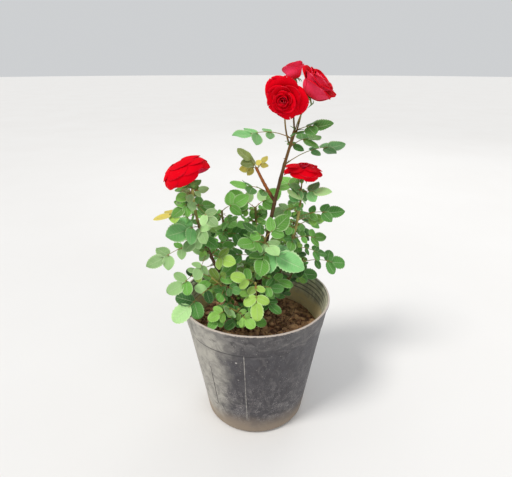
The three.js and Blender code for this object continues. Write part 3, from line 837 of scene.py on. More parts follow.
class Heap:
    """Vertices and faces of many small things, gathered to become one piece."""

    def __init__(self):
        self.points = []
        self.faces = []
        self.notes = []
        self.slots = []
        self.count = 0

    def add(self, points, faces, notes=None, slot=0):
        """Adds one small thing, with what its finish reads at each point."""
        points = np.asarray(points, float).reshape(-1, 3)
        self.points.append(points)
        self.faces.extend(tuple(i + self.count for i in face) for face in faces)
        self.slots.extend([slot] * len(faces))
        if notes is None:
            notes = np.zeros((len(points), 3))
        self.notes.append(np.asarray(notes, float).reshape(-1, 3))
        self.count += len(points)

    def piece(self, name, materials, attribute=None, smooth=True):
        """All that was added, as one object."""
        mesh = bpy.data.meshes.new(name)
        mesh.from_pydata((np.concatenate(self.points) * MM).tolist(), [], self.faces)
        for material in materials:
            mesh.materials.append(material)
        mesh.polygons.foreach_set("material_index", self.slots)
        mesh.polygons.foreach_set("use_smooth", [smooth] * len(self.faces))
        if attribute:
            store = mesh.attributes.new(attribute, "FLOAT_VECTOR", "POINT")
            store.data.foreach_set("vector", np.concatenate(self.notes).astype(np.float32).ravel())
        mesh.update()
        made = bpy.data.objects.new(name, mesh)
        bpy.context.collection.objects.link(made)
        return made


def tube(heap, path, radii, sides, notes=None, slot=0):
    """A round limb along a path of points, with a radius for each."""
    path = np.asarray(path, float)
    count = len(path)
    slopes = np.gradient(path, axis=0)
    slopes /= np.linalg.norm(slopes, axis=1, keepdims=True)
    side = np.cross(slopes[0], (0.31, 0.17, 0.93))
    if np.linalg.norm(side) < 0.2:
        side = np.cross(slopes[0], (0.9, 0.3, 0.1))
    rings = []
    for i in range(count):
        side = unit(side - slopes[i] * np.dot(side, slopes[i]))
        other = np.cross(slopes[i], side)
        turns = np.arange(sides) * 2 * math.pi / sides
        ring = path[i] + radii[i] * (np.outer(np.cos(turns), side) + np.outer(np.sin(turns), other))
        rings.append(ring)
    points = np.concatenate(rings)
    faces = []
    for i in range(count - 1):
        for j in range(sides):
            k = (j + 1) % sides
            faces.append((i * sides + j, i * sides + k, (i + 1) * sides + k, (i + 1) * sides + j))
    faces.append(tuple(reversed(range(sides))))
    faces.append(tuple(range((count - 1) * sides, count * sides)))
    shares = np.repeat(np.linspace(0, 1, count), sides) if notes is None else np.repeat(notes, sides)
    heap.add(points, faces, np.stack([shares, shares * 0, shares * 0], axis=1), slot)


# The leaf rule of the source, carried to finer leaves


def leaf_frame(toward, rise, lean):
    """The way a leaf points and the way its upper side faces. A lean turns that to the front."""
    turn, lift = math.radians(toward), math.radians(rise)
    way = np.array([math.cos(turn), math.sin(turn), 0.0])
    vertical = np.array([0.0, 0.0, 1.0])
    along = way * math.cos(lift) + vertical * math.sin(lift)
    up = way * -math.sin(lift) + vertical * math.cos(lift)
    level = np.array([math.sin(turn), -math.cos(turn), 0.0])
    roll = math.radians(-lean if level[1] > 0 else lean)
    return along, up * math.cos(roll) + level * math.sin(roll)


def leaflets_of(leaf):
    """Root, direction, face, length and width of each leaflet, and the stalk's curve."""
    chance = seeded(leaf["seed"])

    def vary(amount):
        return (chance() * 2 - 1) * amount
    along, normal = leaf_frame(leaf["toward"], leaf["rise"], leaf["lean"])
    length = leaf["reach"] - leaf["blade"]
    end = leaf["root"] + along * length
    middle = (leaf["root"] + end) / 2 + np.array([0, 0, STALK_ARCH * 2 * length])
    stalk = (leaf["root"], middle, end)
    across = np.cross(normal, along)
    made = []
    for i in range(leaf["leaflets"]):
        pair = math.ceil(i / 2)
        hand = 0 if i == 0 else (1 if i % 2 == 0 else -1)
        behind = END_SINK if pair == 0 else FIRST_PAIR + PAIR_SPACING * (pair - 1)
        size = leaf["blade"] * (1 - PAIR_SHRINK * pair) * (1 + vary(CHANCE_LENGTH))
        wide = BLADE_WIDTH * (1 + vary(CHANCE_WIDTH))
        spread = math.radians(hand * (LEAFLET_SPREAD + vary(CHANCE_SPREAD)))
        droop = math.radians(LEAFLET_DROOP + vary(CHANCE_DROOP))
        twist = math.radians(vary(CHANCE_TWIST))
        back = min(behind * leaf["blade"], length * 0.8)
        out = unit(along * math.cos(spread) + across * math.sin(spread) - normal * math.sin(droop))
        face = turned_about(unit(normal - out * np.dot(normal, out)), out, twist)
        place = (1 - back / length) * STALK_STEPS
        step = min(int(place), STALK_STEPS - 1)
        ends = bezier(stalk, step / STALK_STEPS), bezier(stalk, (step + 1) / STALK_STEPS)
        root = ends[0] + (ends[1] - ends[0]) * (place - step)
        made.append(dict(root=root, out=out, face=face, length=size, wide=wide))
    return stalk, made


def planned_leaves(cane, index):
    """The leaves of the source: those of the cane's rows, then those that its rule adds."""
    curve = curve_of(cane)
    chance = seeded(index + 1)

    def between(ends):
        return ends[0] + (ends[1] - ends[0]) * chance()
    rows = []
    for along, toward, rise, reach, leaflets, blade, tint, *own in cane["leaves"]:
        rows.append(dict(
            along=along, toward=toward, rise=rise, reach=reach, leaflets=leaflets, blade=blade,
            tint=tint, lean=own[0] if own else cane["lean"], added=False, young=False,
        ))
    for i in range(cane["fill"]):
        along = cane["bare"] + (1 - cane["bare"]) * ((i + FILL_START) / cane["fill"])
        first, last = cane["fan"]
        toward = first + (((i * TURN_PER_LEAF) % 360) / 360) * (last - first) + between(FILL_CHANCE)
        rise = FILL_RISE[0] + (FILL_RISE[1] - FILL_RISE[0]) * along + between(FILL_CHANCE)
        rise -= cane.get("nod", 0)
        reach = between(FILL_REACH)
        rows.append(dict(
            along=along, toward=toward, rise=rise, reach=reach, leaflets=3, blade=reach * FILL_BLADE,
            tint=cane["tint"], lean=between(FILL_LEAN), added=True, young=False,
        ))
    for i, row in enumerate(rows):
        row["root"] = bezier(curve, row["along"])
        row["seed"] = index * LEAF_SEEDS + i + 1
    return rows


NODE_TREES = {}


def standing(node, leaflets):
    """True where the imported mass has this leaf, so that the scene skips what the source skipped."""
    tree = NODE_TREES.get(node)
    if tree is None:
        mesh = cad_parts[node].data
        tree = kdtree.KDTree(len(mesh.vertices))
        for i, vertex in enumerate(mesh.vertices):
            tree.insert(vertex.co, i)
        tree.balance()
        NODE_TREES[node] = tree
    for leaflet in leaflets:
        dip = leaflet["length"] * BLADE_FOLD
        tip = leaflet["root"] + leaflet["out"] * leaflet["length"] - leaflet["face"] * dip
        if tree.find(Vector(tip * MM))[2] < TIP_MATCH:
            return True
    return False


def blade_outline(blunt=False):
    """A serrated leaflet of unit length: rows from rib to margin, as places, faces and notes."""
    stations = 9
    shares = np.linspace(0, 1, stations + 1)
    base, tip = 0.55, 0.74
    if blunt:
        shares = (1 - np.cos(math.pi * shares)) / 2
        base, tip = 0.52, 0.52
    widest = base / (base + tip)
    inner = (0.0, 0.42, 0.8)
    # A tooth's valley and its point: how far along its station and how far out they are
    teeth = ((0.1, 0.93), (0.78, 1.03))
    points, notes = [], []

    def width(x):
        return (x / widest) ** base * (max(1 - x, 0) / (1 - widest)) ** tip
    places = {}
    for i, x in enumerate(shares):
        for j, share in enumerate(inner):
            for hand in ((1,) if share == 0 else (1, -1)):
                places[(i, j, hand)] = len(points)
                points.append((x, hand * share * width(x) * 0.94, 0))
                notes.append((x, hand * share))
    for i in range(stations):
        x = shares[i]
        for k, (forward, out) in enumerate(teeth):
            for hand in (1, -1):
                at = x + (shares[i + 1] - x) * forward
                places[(i, 3 + k, hand)] = len(points)
                points.append((at, hand * out * width(at), 0))
                notes.append((at, hand))
    faces = []
    for i in range(stations):
        for hand in (1, -1):
            rows = []
            for j in range(2):
                left = places[(i, j, hand if j else 1)]
                right = places[(i + 1, j, hand if j else 1)]
                rows.append((left, right, places[(i + 1, j + 1, hand)], places[(i, j + 1, hand)]))
            valley, tooth = places[(i, 3, hand)], places[(i, 4, hand)]
            rows.append((places[(i, 2, hand)], places[(i + 1, 2, hand)], tooth, valley))
            if i + 1 < stations:
                rows.append((places[(i + 1, 2, hand)], places[(i + 1, 3, hand)], tooth))
            faces.extend(row if hand > 0 else tuple(reversed(row)) for row in rows)
    return np.array(points), faces, np.array(notes)


def add_blade(heap, outline, leaflet, chance, crimp):
    """One leaflet: folded at its rib, cupped or wavy, bending down towards its tip."""
    flat, faces, notes = outline
    length, wide = leaflet["length"], leaflet["wide"]
    beside = np.cross(leaflet["out"], leaflet["face"])
    x = flat[:, 0]
    share = notes[:, 1]
    y = flat[:, 1] * length * wide / 2
    fold = BLADE_FOLD * (0.7 + 0.9 * chance()) * crimp
    bend = 0.05 + 0.14 * (chance() - 0.35) * crimp
    wave = (chance() - 0.5) * 0.05 * crimp
    phase = chance() * 6.28
    curl = (chance() - 0.4) * 0.1 * crimp
    rise = -fold * (1 - np.abs(share) ** 1.3) * np.sin(np.pi * np.clip(x, 0, 1) ** 0.8)
    rise = rise - bend * x ** 2 - curl * np.abs(share) ** 2 * x
    rise = rise + wave * np.sin(x * 9 + phase + share) * np.abs(share)
    skew = (chance() - 0.5) * 0.16
    side = y + skew * length * x ** 2 * 0.5
    points = (
        leaflet["root"] + np.outer(x * length, leaflet["out"]) + np.outer(rise * length, leaflet["face"])
        + np.outer(side, beside)
    )
    # The leaflet's random share of painted light or shade
    tone = np.full(len(x), 0.1 + 0.8 * chance())
    heap.add(points, faces, np.stack([notes[:, 0], notes[:, 1], tone], axis=1))


def young_leaves(cane, index):
    """Small leaves between the others, in the reach that the mass already has. They nod outwards."""
    curve = curve_of(cane)
    chance = seeded(YOUNG_SEED + index)
    rows = []
    last = YOUNG_END["back" if "nod" in cane else "front"]
    for i in range(cane["young"]):
        along = cane["bare"] + (last - cane["bare"]) * ((i + 0.25 + 0.5 * chance()) / cane["young"])
        toward = (index * 50 + i * TURN_PER_LEAF + 30 * chance()) % 360
        reach = 22 + 22 * chance()
        rows.append(dict(
            along=along, toward=toward, rise=20 - 46 * chance(), reach=reach, leaflets=5 if i % 2 else 3,
            blade=reach * 0.44, tint="young" if i % 3 else cane["tint"], lean=15 + 35 * chance(),
            root=bezier(curve, along), seed=YOUNG_LEAF_SEED + index * LEAF_SEEDS + i, added=False,
            young=True,
        ))
    return rows


def more_leaves(name, cane, index):
    """The single leaves that the scene adds, in the reach that the mass already has."""
    curve = curve_of(cane)
    rows = []
    for i, (along, toward, rise, reach, blade, tint) in enumerate(MORE_LEAVES.get(name, [])):
        rows.append(dict(
            along=along, toward=toward, rise=rise, reach=reach, leaflets=3, blade=blade, tint=tint,
            lean=MORE_LEAN, root=bezier(curve, along), seed=MORE_LEAF_SEED + index * LEAF_SEEDS + i,
            added=False, young=True,
        ))
    return rows


def make_foliage():
    """All leaves, their stalks and stipules. The leaflets of one tint are one piece."""
    pointed, blunt = blade_outline(), blade_outline(blunt=True)
    heaps = {tint: Heap() for tint in TINTS}
    stalks = Heap()
    for index, (name, cane) in enumerate(CANES.items()):
        chance = seeded(TINT_SEED + index)
        leaves = planned_leaves(cane, index)
        leaves += young_leaves(cane, index)
        leaves += more_leaves(name, cane, index)
        for leaf in leaves:
            curve, leaflets = leaflets_of(leaf)
            if leaf["added"]:
                if not standing(f"shoot_{name}", leaflets):
                    continue
                # A leaf of the rule carries one more pair, smaller and farther back
                leaflets += leaflets_of(dict(leaf, leaflets=5))[1][3:]
            steps = np.linspace(0, 1, 7)
            share = YOUNG_STALK_SHARE if leaf["young"] else STALK_SHARE
            radii = STALK_RADIUS * (share - STALK_TAPER * steps) + 0.5 * (steps < 0.05)
            tube(stalks, bezier(curve, steps), radii, sides=5)
            add_stipules(stalks, curve, cane["girth"][1], leaf["blade"])
            tint = leaf["tint"]
            outline = blunt if leaf["root"][2] < BLUNT_BELOW else pointed
            crimp = CRIMP if tint in CRIMPED_TINTS else 1.0
            for order, leaflet in enumerate(leaflets):
                own = tint
                if not leaf["young"] and chance() < SWAP_CHANCE:
                    own = TINT_SWAPS.get(tint, tint)
                if tint in SPRAYS:
                    own = SPRAYS[tint][order]
                add_blade(heaps[own], outline, leaflet, chance, crimp)
                add_petiolule(stalks, leaflet)
    tones = settings("rose_leaf")
    for tint, heap in heaps.items():
        paleness = FAINT_EDGE_PALENESS if tint in FAINT_EDGE_TINTS else EDGE_PALENESS
        finish = leaf_finish(f"leaf_{tint}", tuple(getattr(tones, tint)), paleness)
        piece = heap.piece(f"leaves_{tint}", [finish], attribute="blade")
        finish_piece(piece, "leaf")
    wood = settings("rose_wood")
    finish = plain_finish("leaf_stalk", tuple(wood.stalk), shade(150, 106, 62))
    finish_piece(stalks.piece("leaf_stalks", [finish]), "leaf")
    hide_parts(*[f"shoot_{name}" for name in CANES])


def add_petiolule(heap, leaflet):
    """The short stalk that a leaflet sits on."""
    root = leaflet["root"]
    start = root - leaflet["out"] * 0.4
    end = root + leaflet["out"] * leaflet["length"] * 0.1 - leaflet["face"] * 0.2
    tube(heap, [start, (start + end) / 2, end], [0.42, 0.4, 0.3], sides=4)


def add_stipules(heap, curve, girth, blade):
    """Two narrow wings along the foot of a leaf's stalk."""
    start = bezier(curve, 0.0)
    along = heading(curve, 0.0)
    side = unit(np.cross(along, (0, 0, 1)) + 1e-6)
    length = 3 + blade * 0.16
    for hand in (1, -1):
        wing = [
            start + along * girth,
            start + along * (girth + length * 0.5) + side * hand * 1.6,
            start + along * (girth + length) + side * hand * 2.2 + np.array([0, 0, 0.8]),
            start + along * (girth + length * 0.8) + side * hand * 0.3,
        ]
        heap.add(wing, [(0, 1, 2, 3)])


# Wood: canes with bark relief, nodes and prickles


def closest_share(curve, points):
    """How far along the curve each point is, from 0 to 1."""
    samples = np.linspace(0, 1, 161)
    path = bezier(curve, samples)
    gaps = ((points[:, None, :] - path[None, :, :]) ** 2).sum(axis=2)
    return samples[gaps.argmin(axis=1)]


def deselect():
    """Nothing is selected, so that the next operator acts only on what it makes."""
    bpy.ops.object.select_all(action="DESELECT")


def only(piece):
    """Nothing but this piece is selected."""
    deselect()
    piece.select_set(True)
    bpy.context.view_layer.objects.active = piece


def settle(piece):
    """Puts the piece's place into its mesh and its object at the origin."""
    only(piece)
    bpy.ops.object.transform_apply(location=True, rotation=True, scale=True)
    return piece


def finish_piece(piece, slot, *nodes):
    """Says which body the piece is on and which nodes it replaces. Its slot, what it is made of, is not
    used.
    """
    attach(piece, BODY)
    if nodes:
        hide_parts(*nodes)
    return piece


def cane_piece(name, cane, material):
    """A cane and the stem that it becomes: a drawn curve made round, with bark relief and nodes."""
    curve = curve_of(cane)
    foot, elbow, tip = (np.array(p, float) for p in curve)
    deselect()
    bpy.ops.curve.primitive_bezier_curve_add()
    drawn = bpy.context.object
    spline = drawn.data.splines[0]
    first, last = spline.bezier_points
    for point in (first, last):
        point.handle_left_type = point.handle_right_type = "FREE"
    handles = foot + (elbow - foot) * 2 / 3, tip + (elbow - tip) * 2 / 3
    first.co = foot * MM
    first.handle_right = handles[0] * MM
    first.handle_left = (2 * foot - handles[0]) * MM
    last.co = tip * MM
    last.handle_left = handles[1] * MM
    last.handle_right = (2 * tip - handles[1]) * MM
    first.radius, last.radius = cane["girth"]
    data = drawn.data
    data.dimensions = "3D"
    data.resolution_u = max(24, int(np.linalg.norm(tip - foot) / CANE_STEP))
    data.bevel_depth = MM
    data.bevel_resolution = 3
    data.use_fill_caps = True
    only(drawn)
    bpy.ops.object.convert(target="MESH")
    piece = bpy.context.object
    piece.name = f"bark_{name}"
    piece.data.name = piece.name
    settle(piece)
    relief = settings("rose_wood").relief / MM
    mesh = piece.data
    points = np.array([v.co for v in mesh.vertices]) / MM
    shares = closest_share(curve, points)
    centres = bezier(curve, shares)
    out = points - centres
    reach = np.linalg.norm(out, axis=1, keepdims=True)
    out = out / np.maximum(reach, 0.001)
    knots = [row[0] for row in cane["leaves"]] + [0.1 + 0.8 * i / 6 for i in range(6)]
    swell = np.zeros(len(points))
    for knot in knots:
        swell += KNOT_SWELL * np.exp(-((shares - knot) / KNOT_SHARE) ** 2)
    rough = np.array([
        noise.fractal(Vector((*(p * (0.9, 0.9, 0.3)),)), 0.8, 2.1, 3) for p in points
    ])
    age = 1 - 0.75 * np.clip(shares / max(cane["bare"] + 0.2, 0.3), 0, 1)
    radius = reach[:, 0] + swell + rough * relief * age
    moved = np.where(reach > 0.05, centres + out * radius[:, None], points)
    mesh.vertices.foreach_set("co", (moved * MM).ravel())
    store = mesh.attributes.new("cane", "FLOAT_VECTOR", "POINT")
    notes = np.stack([shares, shares * 0, shares * 0], axis=1)
    store.data.foreach_set("vector", notes.astype(np.float32).ravel())
    mesh.materials.clear()
    mesh.materials.append(material)
    only(piece)
    bpy.ops.object.shade_smooth()
    mesh.update()
    return piece


def add_prickles(heap, cane, index):
    """Prickles that point down, longer towards the foot of the cane."""
    curve = curve_of(cane)
    chance = seeded(PRICKLE_SEED + index)
    size = settings("rose_wood").prickle / MM
    length = np.linalg.norm(np.array(cane["tip"], float) - np.array(cane["foot"], float))
    count = length / PRICKLE_SPACING
    for i in range(int(count)):
        share = (i + chance()) / count
        if share > 0.97:
            continue
        place = bezier(curve, share)
        along = heading(curve, share)
        around = unit(np.cross(along, (0.3, 0.9, 0.1)))
        out = turned_about(around, along, chance() * 6.283)
        girth = cane["girth"][0] + (cane["girth"][1] - cane["girth"][0]) * share
        reach = size * (0.5 + 0.5 * chance()) * (1 - 0.35 * share)
        side = np.cross(along, out)
        foot = place + out * girth * 0.75
        tip = place + out * (girth + reach) - along * reach * 0.45
        half = along * reach * 0.42
        base = [foot + half, foot + side * 0.5, foot - half, foot - side * 0.5]
        heap.add([*base, tip], [(0, 1, 4), (1, 2, 4), (2, 3, 4), (3, 0, 4), (3, 2, 1, 0)])


def lathe(name, profile, segments):
    """Turns a profile by hand: a ring, then extruded, moved and scaled from height to height."""
    deselect()
    radius, height = profile[0]
    bpy.ops.mesh.primitive_circle_add(
        vertices=segments, radius=radius * MM, location=(0, 0, height * MM), fill_type="NGON",
    )
    piece = bpy.context.object
    piece.name = name
    piece.data.name = name
    settle(piece)
    bpy.ops.object.mode_set(mode="EDIT")
    bpy.ops.mesh.select_mode(type="FACE")
    bpy.ops.mesh.select_all(action="SELECT")
    for wider, higher in profile[1:]:
        bpy.ops.mesh.extrude_region_move(TRANSFORM_OT_translate={"value": (0, 0, (higher - height) * MM)})
        scale = wider / radius
        bpy.ops.transform.resize(value=(scale, scale, 1), center_override=(0, 0, higher * MM))
        radius, height = wider, higher
    bpy.ops.object.mode_set(mode="OBJECT")
    return piece


def wall_radius(height):
    """Radius of the pot's tapered side at a height."""
    top = RIM_RADIUS - WALL
    return FOOT_RADIUS + (top - FOOT_RADIUS) * height / POT_HEIGHT


def wall_warp(out_x, out_y, height):
    """How far the pot's side stands out of round there. The last stretch above the foot stays round."""
    wander = noise.noise(Vector((out_x * WARP_TURNS, out_y * WARP_TURNS, height / WARP_HEIGHT)))
    return wander * WALL_WARP * min(1.0, height / ROUND_FOOT)


def make_pot():
    """The pot's shell in one profile: up the outside, over the rim and down the ringed inside."""
    rib = settings("rose_pot").rib_depth / MM
    lip_foot = POT_HEIGHT - LIP_HEIGHT
    outside = [
        (FOOT_RADIUS - 9, 0), (FOOT_RADIUS - 6.5, 0.05), (FOOT_RADIUS - 4.4, 0.45), (FOOT_RADIUS - 2.4, 1.3),
        (FOOT_RADIUS - 0.7, 2.9), (wall_radius(5) - 0.15, 5), (wall_radius(8), 8),
    ]
    outside += [(wall_radius(h), h) for h in (20, 40, 60, 80, 100, 120, 140, 155)]
    outside += [
        (wall_radius(BAND_HEIGHT - 1.6), BAND_HEIGHT - 1.6),
        (wall_radius(BAND_HEIGHT - 0.8) + 0.15, BAND_HEIGHT - 0.8),
        (wall_radius(BAND_HEIGHT) + BAND_STEP * 0.9, BAND_HEIGHT),
        (wall_radius(BAND_HEIGHT + 1) + BAND_STEP, BAND_HEIGHT + 1),
        (wall_radius(175) + BAND_STEP, 175),
        (wall_radius(186) + BAND_STEP, 186),
        (wall_radius(lip_foot - 1) + BAND_STEP, lip_foot - 1),
        (wall_radius(lip_foot) + BAND_STEP + 0.15, lip_foot),
        (RIM_RADIUS - 0.35, lip_foot + 0.6),
        (RIM_RADIUS, lip_foot + 1.3),
        (RIM_RADIUS, POT_HEIGHT - 1.1),
        (RIM_RADIUS - 0.25, POT_HEIGHT - 0.4),
        (RIM_RADIUS - 0.8, POT_HEIGHT),
    ]
    inside = [
        (RIM_RADIUS - WALL - 0.5, POT_HEIGHT),
        (RIM_RADIUS - WALL - 0.95, POT_HEIGHT - 0.5),
        (wall_radius(lip_foot) - WALL + 0.4, lip_foot - 0.6),
    ]
    for height in RING_HEIGHTS:
        inside += [
            (wall_radius(height + 2.4) - WALL, height + 2.4),
            (wall_radius(height + 1.2) - WALL - rib * 0.8, height + 1.2),
            (wall_radius(height) - WALL - rib, height),
            (wall_radius(height - 1.2) - WALL - rib * 0.2, height - 1.2),
        ]
    inside += [(wall_radius(h) - WALL, h) for h in (164, 154, 144, 120, 80, 40, 8)]
    inside += [(FOOT_RADIUS - 6, 3), (0.5, 3)]
    piece = lathe("pot_shell", outside + inside, 128)
    mesh = piece.data
    for material in (pot_finish("weathered_plastic"), pot_finish("inner_plastic", inner=True)):
        mesh.materials.append(material)
    dent = Vector(DENT)
    for vertex in mesh.vertices:
        place = vertex.co / MM
        flat = Vector((place.x, place.y, 0))
        if flat.length < 60 or place.z < 3.5:
            continue
        out = flat.normalized()
        warp = wall_warp(out.x, out.y, place.z)
        near = (place - dent).length
        warp -= 0.9 * math.exp(-(near / 3.4) ** 2)
        vertex.co += out * warp * MM
    for polygon in mesh.polygons:
        middle = polygon.center / MM
        flat = math.hypot(middle.x, middle.y)
        if polygon.normal.dot(Vector((middle.x, middle.y, 0))) < 0 and flat < wall_radius(middle.z):
            polygon.material_index = 1
    only(piece)
    bpy.ops.object.shade_smooth_by_angle(angle=math.radians(38))
    finish_piece(piece, "pot_plastic", "pot")
    make_seams()


def make_seams():
    """The mould seams: fine raised beads down the side, drawn out from a small box."""
    width = settings("rose_pot").seam_width / MM
    finish = pot_seam_finish("seam_plastic", shade(124, 120, 118), shade(172, 167, 160))
    score = pot_seam_finish("score_plastic", shade(58, 55, 58), shade(84, 80, 80))
    seams = (
        ("pot_seam", finish, -98.5, 31, 168, width),
        ("pot_score_left", score, -131, 48, 124, width * 0.8),
        ("pot_score_right", score, -60, 74, 92, width * 0.8),
    )
    for name, material, turn, low, high, wide in seams:
        angle = math.radians(turn)
        deselect()
        bpy.ops.mesh.primitive_cube_add(size=1, location=(0, 0, 0))
        piece = bpy.context.object
        piece.name = name
        bpy.ops.object.mode_set(mode="EDIT")
        bpy.ops.mesh.select_all(action="SELECT")
        bpy.ops.mesh.subdivide(number_cuts=12)
        bpy.ops.object.mode_set(mode="OBJECT")
        for vertex in piece.data.vertices:
            share = vertex.co.z + 0.5
            height = low + (high - low) * share
            fade = math.sin(math.pi * min(max(share, 0.02), 0.98)) ** 0.3
            crown = 1 - (abs(vertex.co.y) * 2) ** 2
            out = wall_radius(height) - 0.5 + (vertex.co.x + 0.5) * (0.5 + 0.55 * fade * crown)
            side = vertex.co.y * wide
            out += wall_warp(math.cos(angle), math.sin(angle), height)
            vertex.co = Vector((
                (out * math.cos(angle) - side * math.sin(angle)) * MM,
                (out * math.sin(angle) + side * math.cos(angle)) * MM,
                height * MM,
            ))
        piece.data.materials.append(material)
        settle(piece)
        bpy.ops.object.shade_smooth()
        finish_piece(piece, "pot_plastic")


def pot_seam_finish(name, dull, bright):
    """Worn plastic of a raised or scored line."""
    made = Finish(name, roughness=0.55, specular=0.45)
    wear = made.grain(0.006, detail=4)
    made.feed("Base Color", made.mix(wear.between(0.4, 0.6), dull, bright))
    made.relief(wear, 0.0004)
    return made.material


def soil_height(x, y):
    """Height of the crumbled soil, highest round the main stem, in millimetres."""
    reach = math.hypot(x, y)
    share = min(reach / 97, 1)
    height = SOIL_TOP + (SOIL_EDGE - SOIL_TOP) * share
    height += 2.4 * noise.noise(Vector((x / 26, y / 26, 3.1)))
    height += 1.6 * noise.noise(Vector((x / 9, y / 9, 7.7)))
    height += 0.8 * noise.noise(Vector((x / 3.5, y / 3.5, 1.3)))
    return height


def make_soil():
    """The bed of soil: an inset disc that is roughened, with its edge drawn down to the pot's floor."""
    fit = WALL + SOIL_FIT
    deselect()
    edge = wall_radius(SOIL_EDGE) - fit
    bpy.ops.mesh.primitive_circle_add(vertices=128, radius=edge * MM, location=(0, 0, 0), fill_type="NGON")
    piece = bpy.context.object
    piece.name = "soil_bed"
    bpy.ops.object.mode_set(mode="EDIT")
    bpy.ops.mesh.select_mode(type="FACE")
    bpy.ops.mesh.select_all(action="SELECT")
    for _ in range(SOIL_RINGS):
        bpy.ops.mesh.inset(thickness=SOIL_RING_WIDTH * MM)
    bpy.ops.mesh.poke()
    bpy.ops.object.mode_set(mode="OBJECT")
    for vertex in piece.data.vertices:
        x, y = vertex.co.x / MM, vertex.co.y / MM
        vertex.co.z = soil_height(x, y) * MM
    bpy.ops.object.mode_set(mode="EDIT")
    bpy.ops.mesh.select_mode(type="EDGE")
    bpy.ops.mesh.select_all(action="SELECT")
    bpy.ops.mesh.region_to_loop()
    foot = wall_radius(8) - fit - 0.3
    bpy.ops.mesh.extrude_region_move(TRANSFORM_OT_translate={"value": (0, 0, -SOIL_EDGE_DROP * MM)})
    shrink = (wall_radius(SOIL_EDGE - SOIL_EDGE_DROP) - fit - 0.3) / edge
    bpy.ops.transform.resize(value=(shrink, shrink, 1), center_override=(0, 0, 0))
    rest = SOIL_FOOT - SOIL_EDGE + SOIL_EDGE_DROP
    bpy.ops.mesh.extrude_region_move(TRANSFORM_OT_translate={"value": (0, 0, rest * MM)})
    shrink = foot / (edge * shrink)
    bpy.ops.transform.resize(value=(shrink, shrink, 1), center_override=(0, 0, 0))
    bpy.ops.mesh.edge_face_add()
    bpy.ops.object.mode_set(mode="OBJECT")
    mesh = piece.data
    lowest = min(v.co.z for v in mesh.vertices)
    for vertex in mesh.vertices:
        if vertex.co.z < lowest + 8 * MM:
            vertex.co.z = SOIL_FOOT * MM
    mesh.materials.append(soil_finish())
    only(piece)
    bpy.ops.object.shade_smooth()
    finish_piece(settle(piece), "soil", "soil")
    make_clods(edge)


def make_clods(edge):
    """Loose clods and crumbs of soil, and the straws on them."""
    deselect()
    bpy.ops.mesh.primitive_ico_sphere_add(subdivisions=1, radius=1)
    seed = bpy.context.object
    ball = np.array([v.co for v in seed.data.vertices])
    faces = [tuple(p.vertices) for p in seed.data.polygons]
    bpy.data.objects.remove(seed)
    tones = settings("rose_pot")
    size = tones.clod_size / MM
    chance = seeded(CLOD_SEED)
    dark, light = Heap(), Heap()
    for _ in range(tones.clods):
        reach = math.sqrt(chance()) * (edge - 1.5)
        turn = chance() * 2 * math.pi
        x, y = reach * math.cos(turn), reach * math.sin(turn)
        radius = 0.5 + (size - 0.5) * chance() ** 3.6
        if reach + radius > edge - 0.4 or reach < STEM_FLARE:
            continue
        lumps = 1 + 0.42 * np.array([chance() - 0.5 for _ in ball])
        flat = np.array([1, 0.75 + 0.5 * chance(), 0.45 + 0.3 * chance()])
        spin = chance() * 6.28
        turned = ball * lumps[:, None] * radius * flat
        turned = turned @ np.array([
            [math.cos(spin), math.sin(spin), 0], [-math.sin(spin), math.cos(spin), 0], [0, 0, 1],
        ])
        place = np.array([x, y, soil_height(x, y) + radius * 0.22])
        (light if chance() < 0.3 else dark).add(turned + place, faces)
    for name, heap, first, second in (
        ("soil_clods", dark, tuple(tones.soil), shade(98, 70, 54)),
        ("soil_crumbs", light, shade(206, 164, 122), shade(160, 122, 92)),
    ):
        piece = heap.piece(name, [clod_finish(name, first, second)], smooth=False)
        finish_piece(piece, "soil")
    straws = Heap()
    for _ in range(STRAWS):
        reach = 30 + 60 * chance()
        turn = chance() * 2 * math.pi
        x, y = reach * math.cos(turn), reach * math.sin(turn)
        way = chance() * 2 * math.pi
        length = 5 + 10 * chance()
        path = []
        for share in (-0.5, 0, 0.5):
            px, py = x + math.cos(way) * length * share, y + math.sin(way) * length * share
            path.append((px, py, soil_height(px, py) + 0.7 + 0.4 * (share == 0)))
        tube(straws, path, [0.3, 0.42, 0.28], sides=4)
    finish = plain_finish("dry_straw", shade(150, 116, 78), shade(96, 70, 48))
    finish_piece(straws.piece("soil_straws", [finish]), "soil")


def make_main_stem():
    """The knobbly foot that the canes rise from, turned and then roughened."""
    foot = SOIL_TOP - 2
    profile = [(STEM_FLARE - 0.5, foot), (STEM_FLARE - 1, foot + 4), (STEM_KNOB - 2, foot + 8)]
    profile += [(STEM_KNOB - 1, foot + 12), (STEM_KNOB, foot + 16), (STEM_KNOB - 1.2, foot + 19)]
    profile += [(STEM_KNOB - 4, STEM_TOP - 2), (STEM_KNOB - 7, STEM_TOP - 0.6), (1, STEM_TOP)]
    piece = lathe("stem_crown", profile, 40)
    only(piece)
    smooth = piece.modifiers.new("round", "SUBSURF")
    smooth.levels = smooth.render_levels = 2
    bpy.ops.object.modifier_apply(modifier=smooth.name)
    for vertex in piece.data.vertices:
        place = vertex.co / MM
        out = Vector((place.x, place.y, (place.z - 160) * 0.5))
        if out.length < 0.5:
            continue
        turn = math.atan2(place.y, place.x)
        lump = 0.9 * math.sin(turn * 5 + place.z * 0.12) + 1.4 * noise.noise(place / 5)
        lump += 0.5 * noise.noise(place / 1.6)
        vertex.co += out.normalized() * (lump - 0.8) * MM
    cork = tuple(settings("rose_wood").cork)
    finish = plain_finish("corky_bark", cork, shade(54, 42, 34), size=0.003, roughness=0.85)
    piece.data.materials.append(finish)
    bpy.ops.object.shade_smooth()
    finish_piece(piece, "bark", "main_stem")


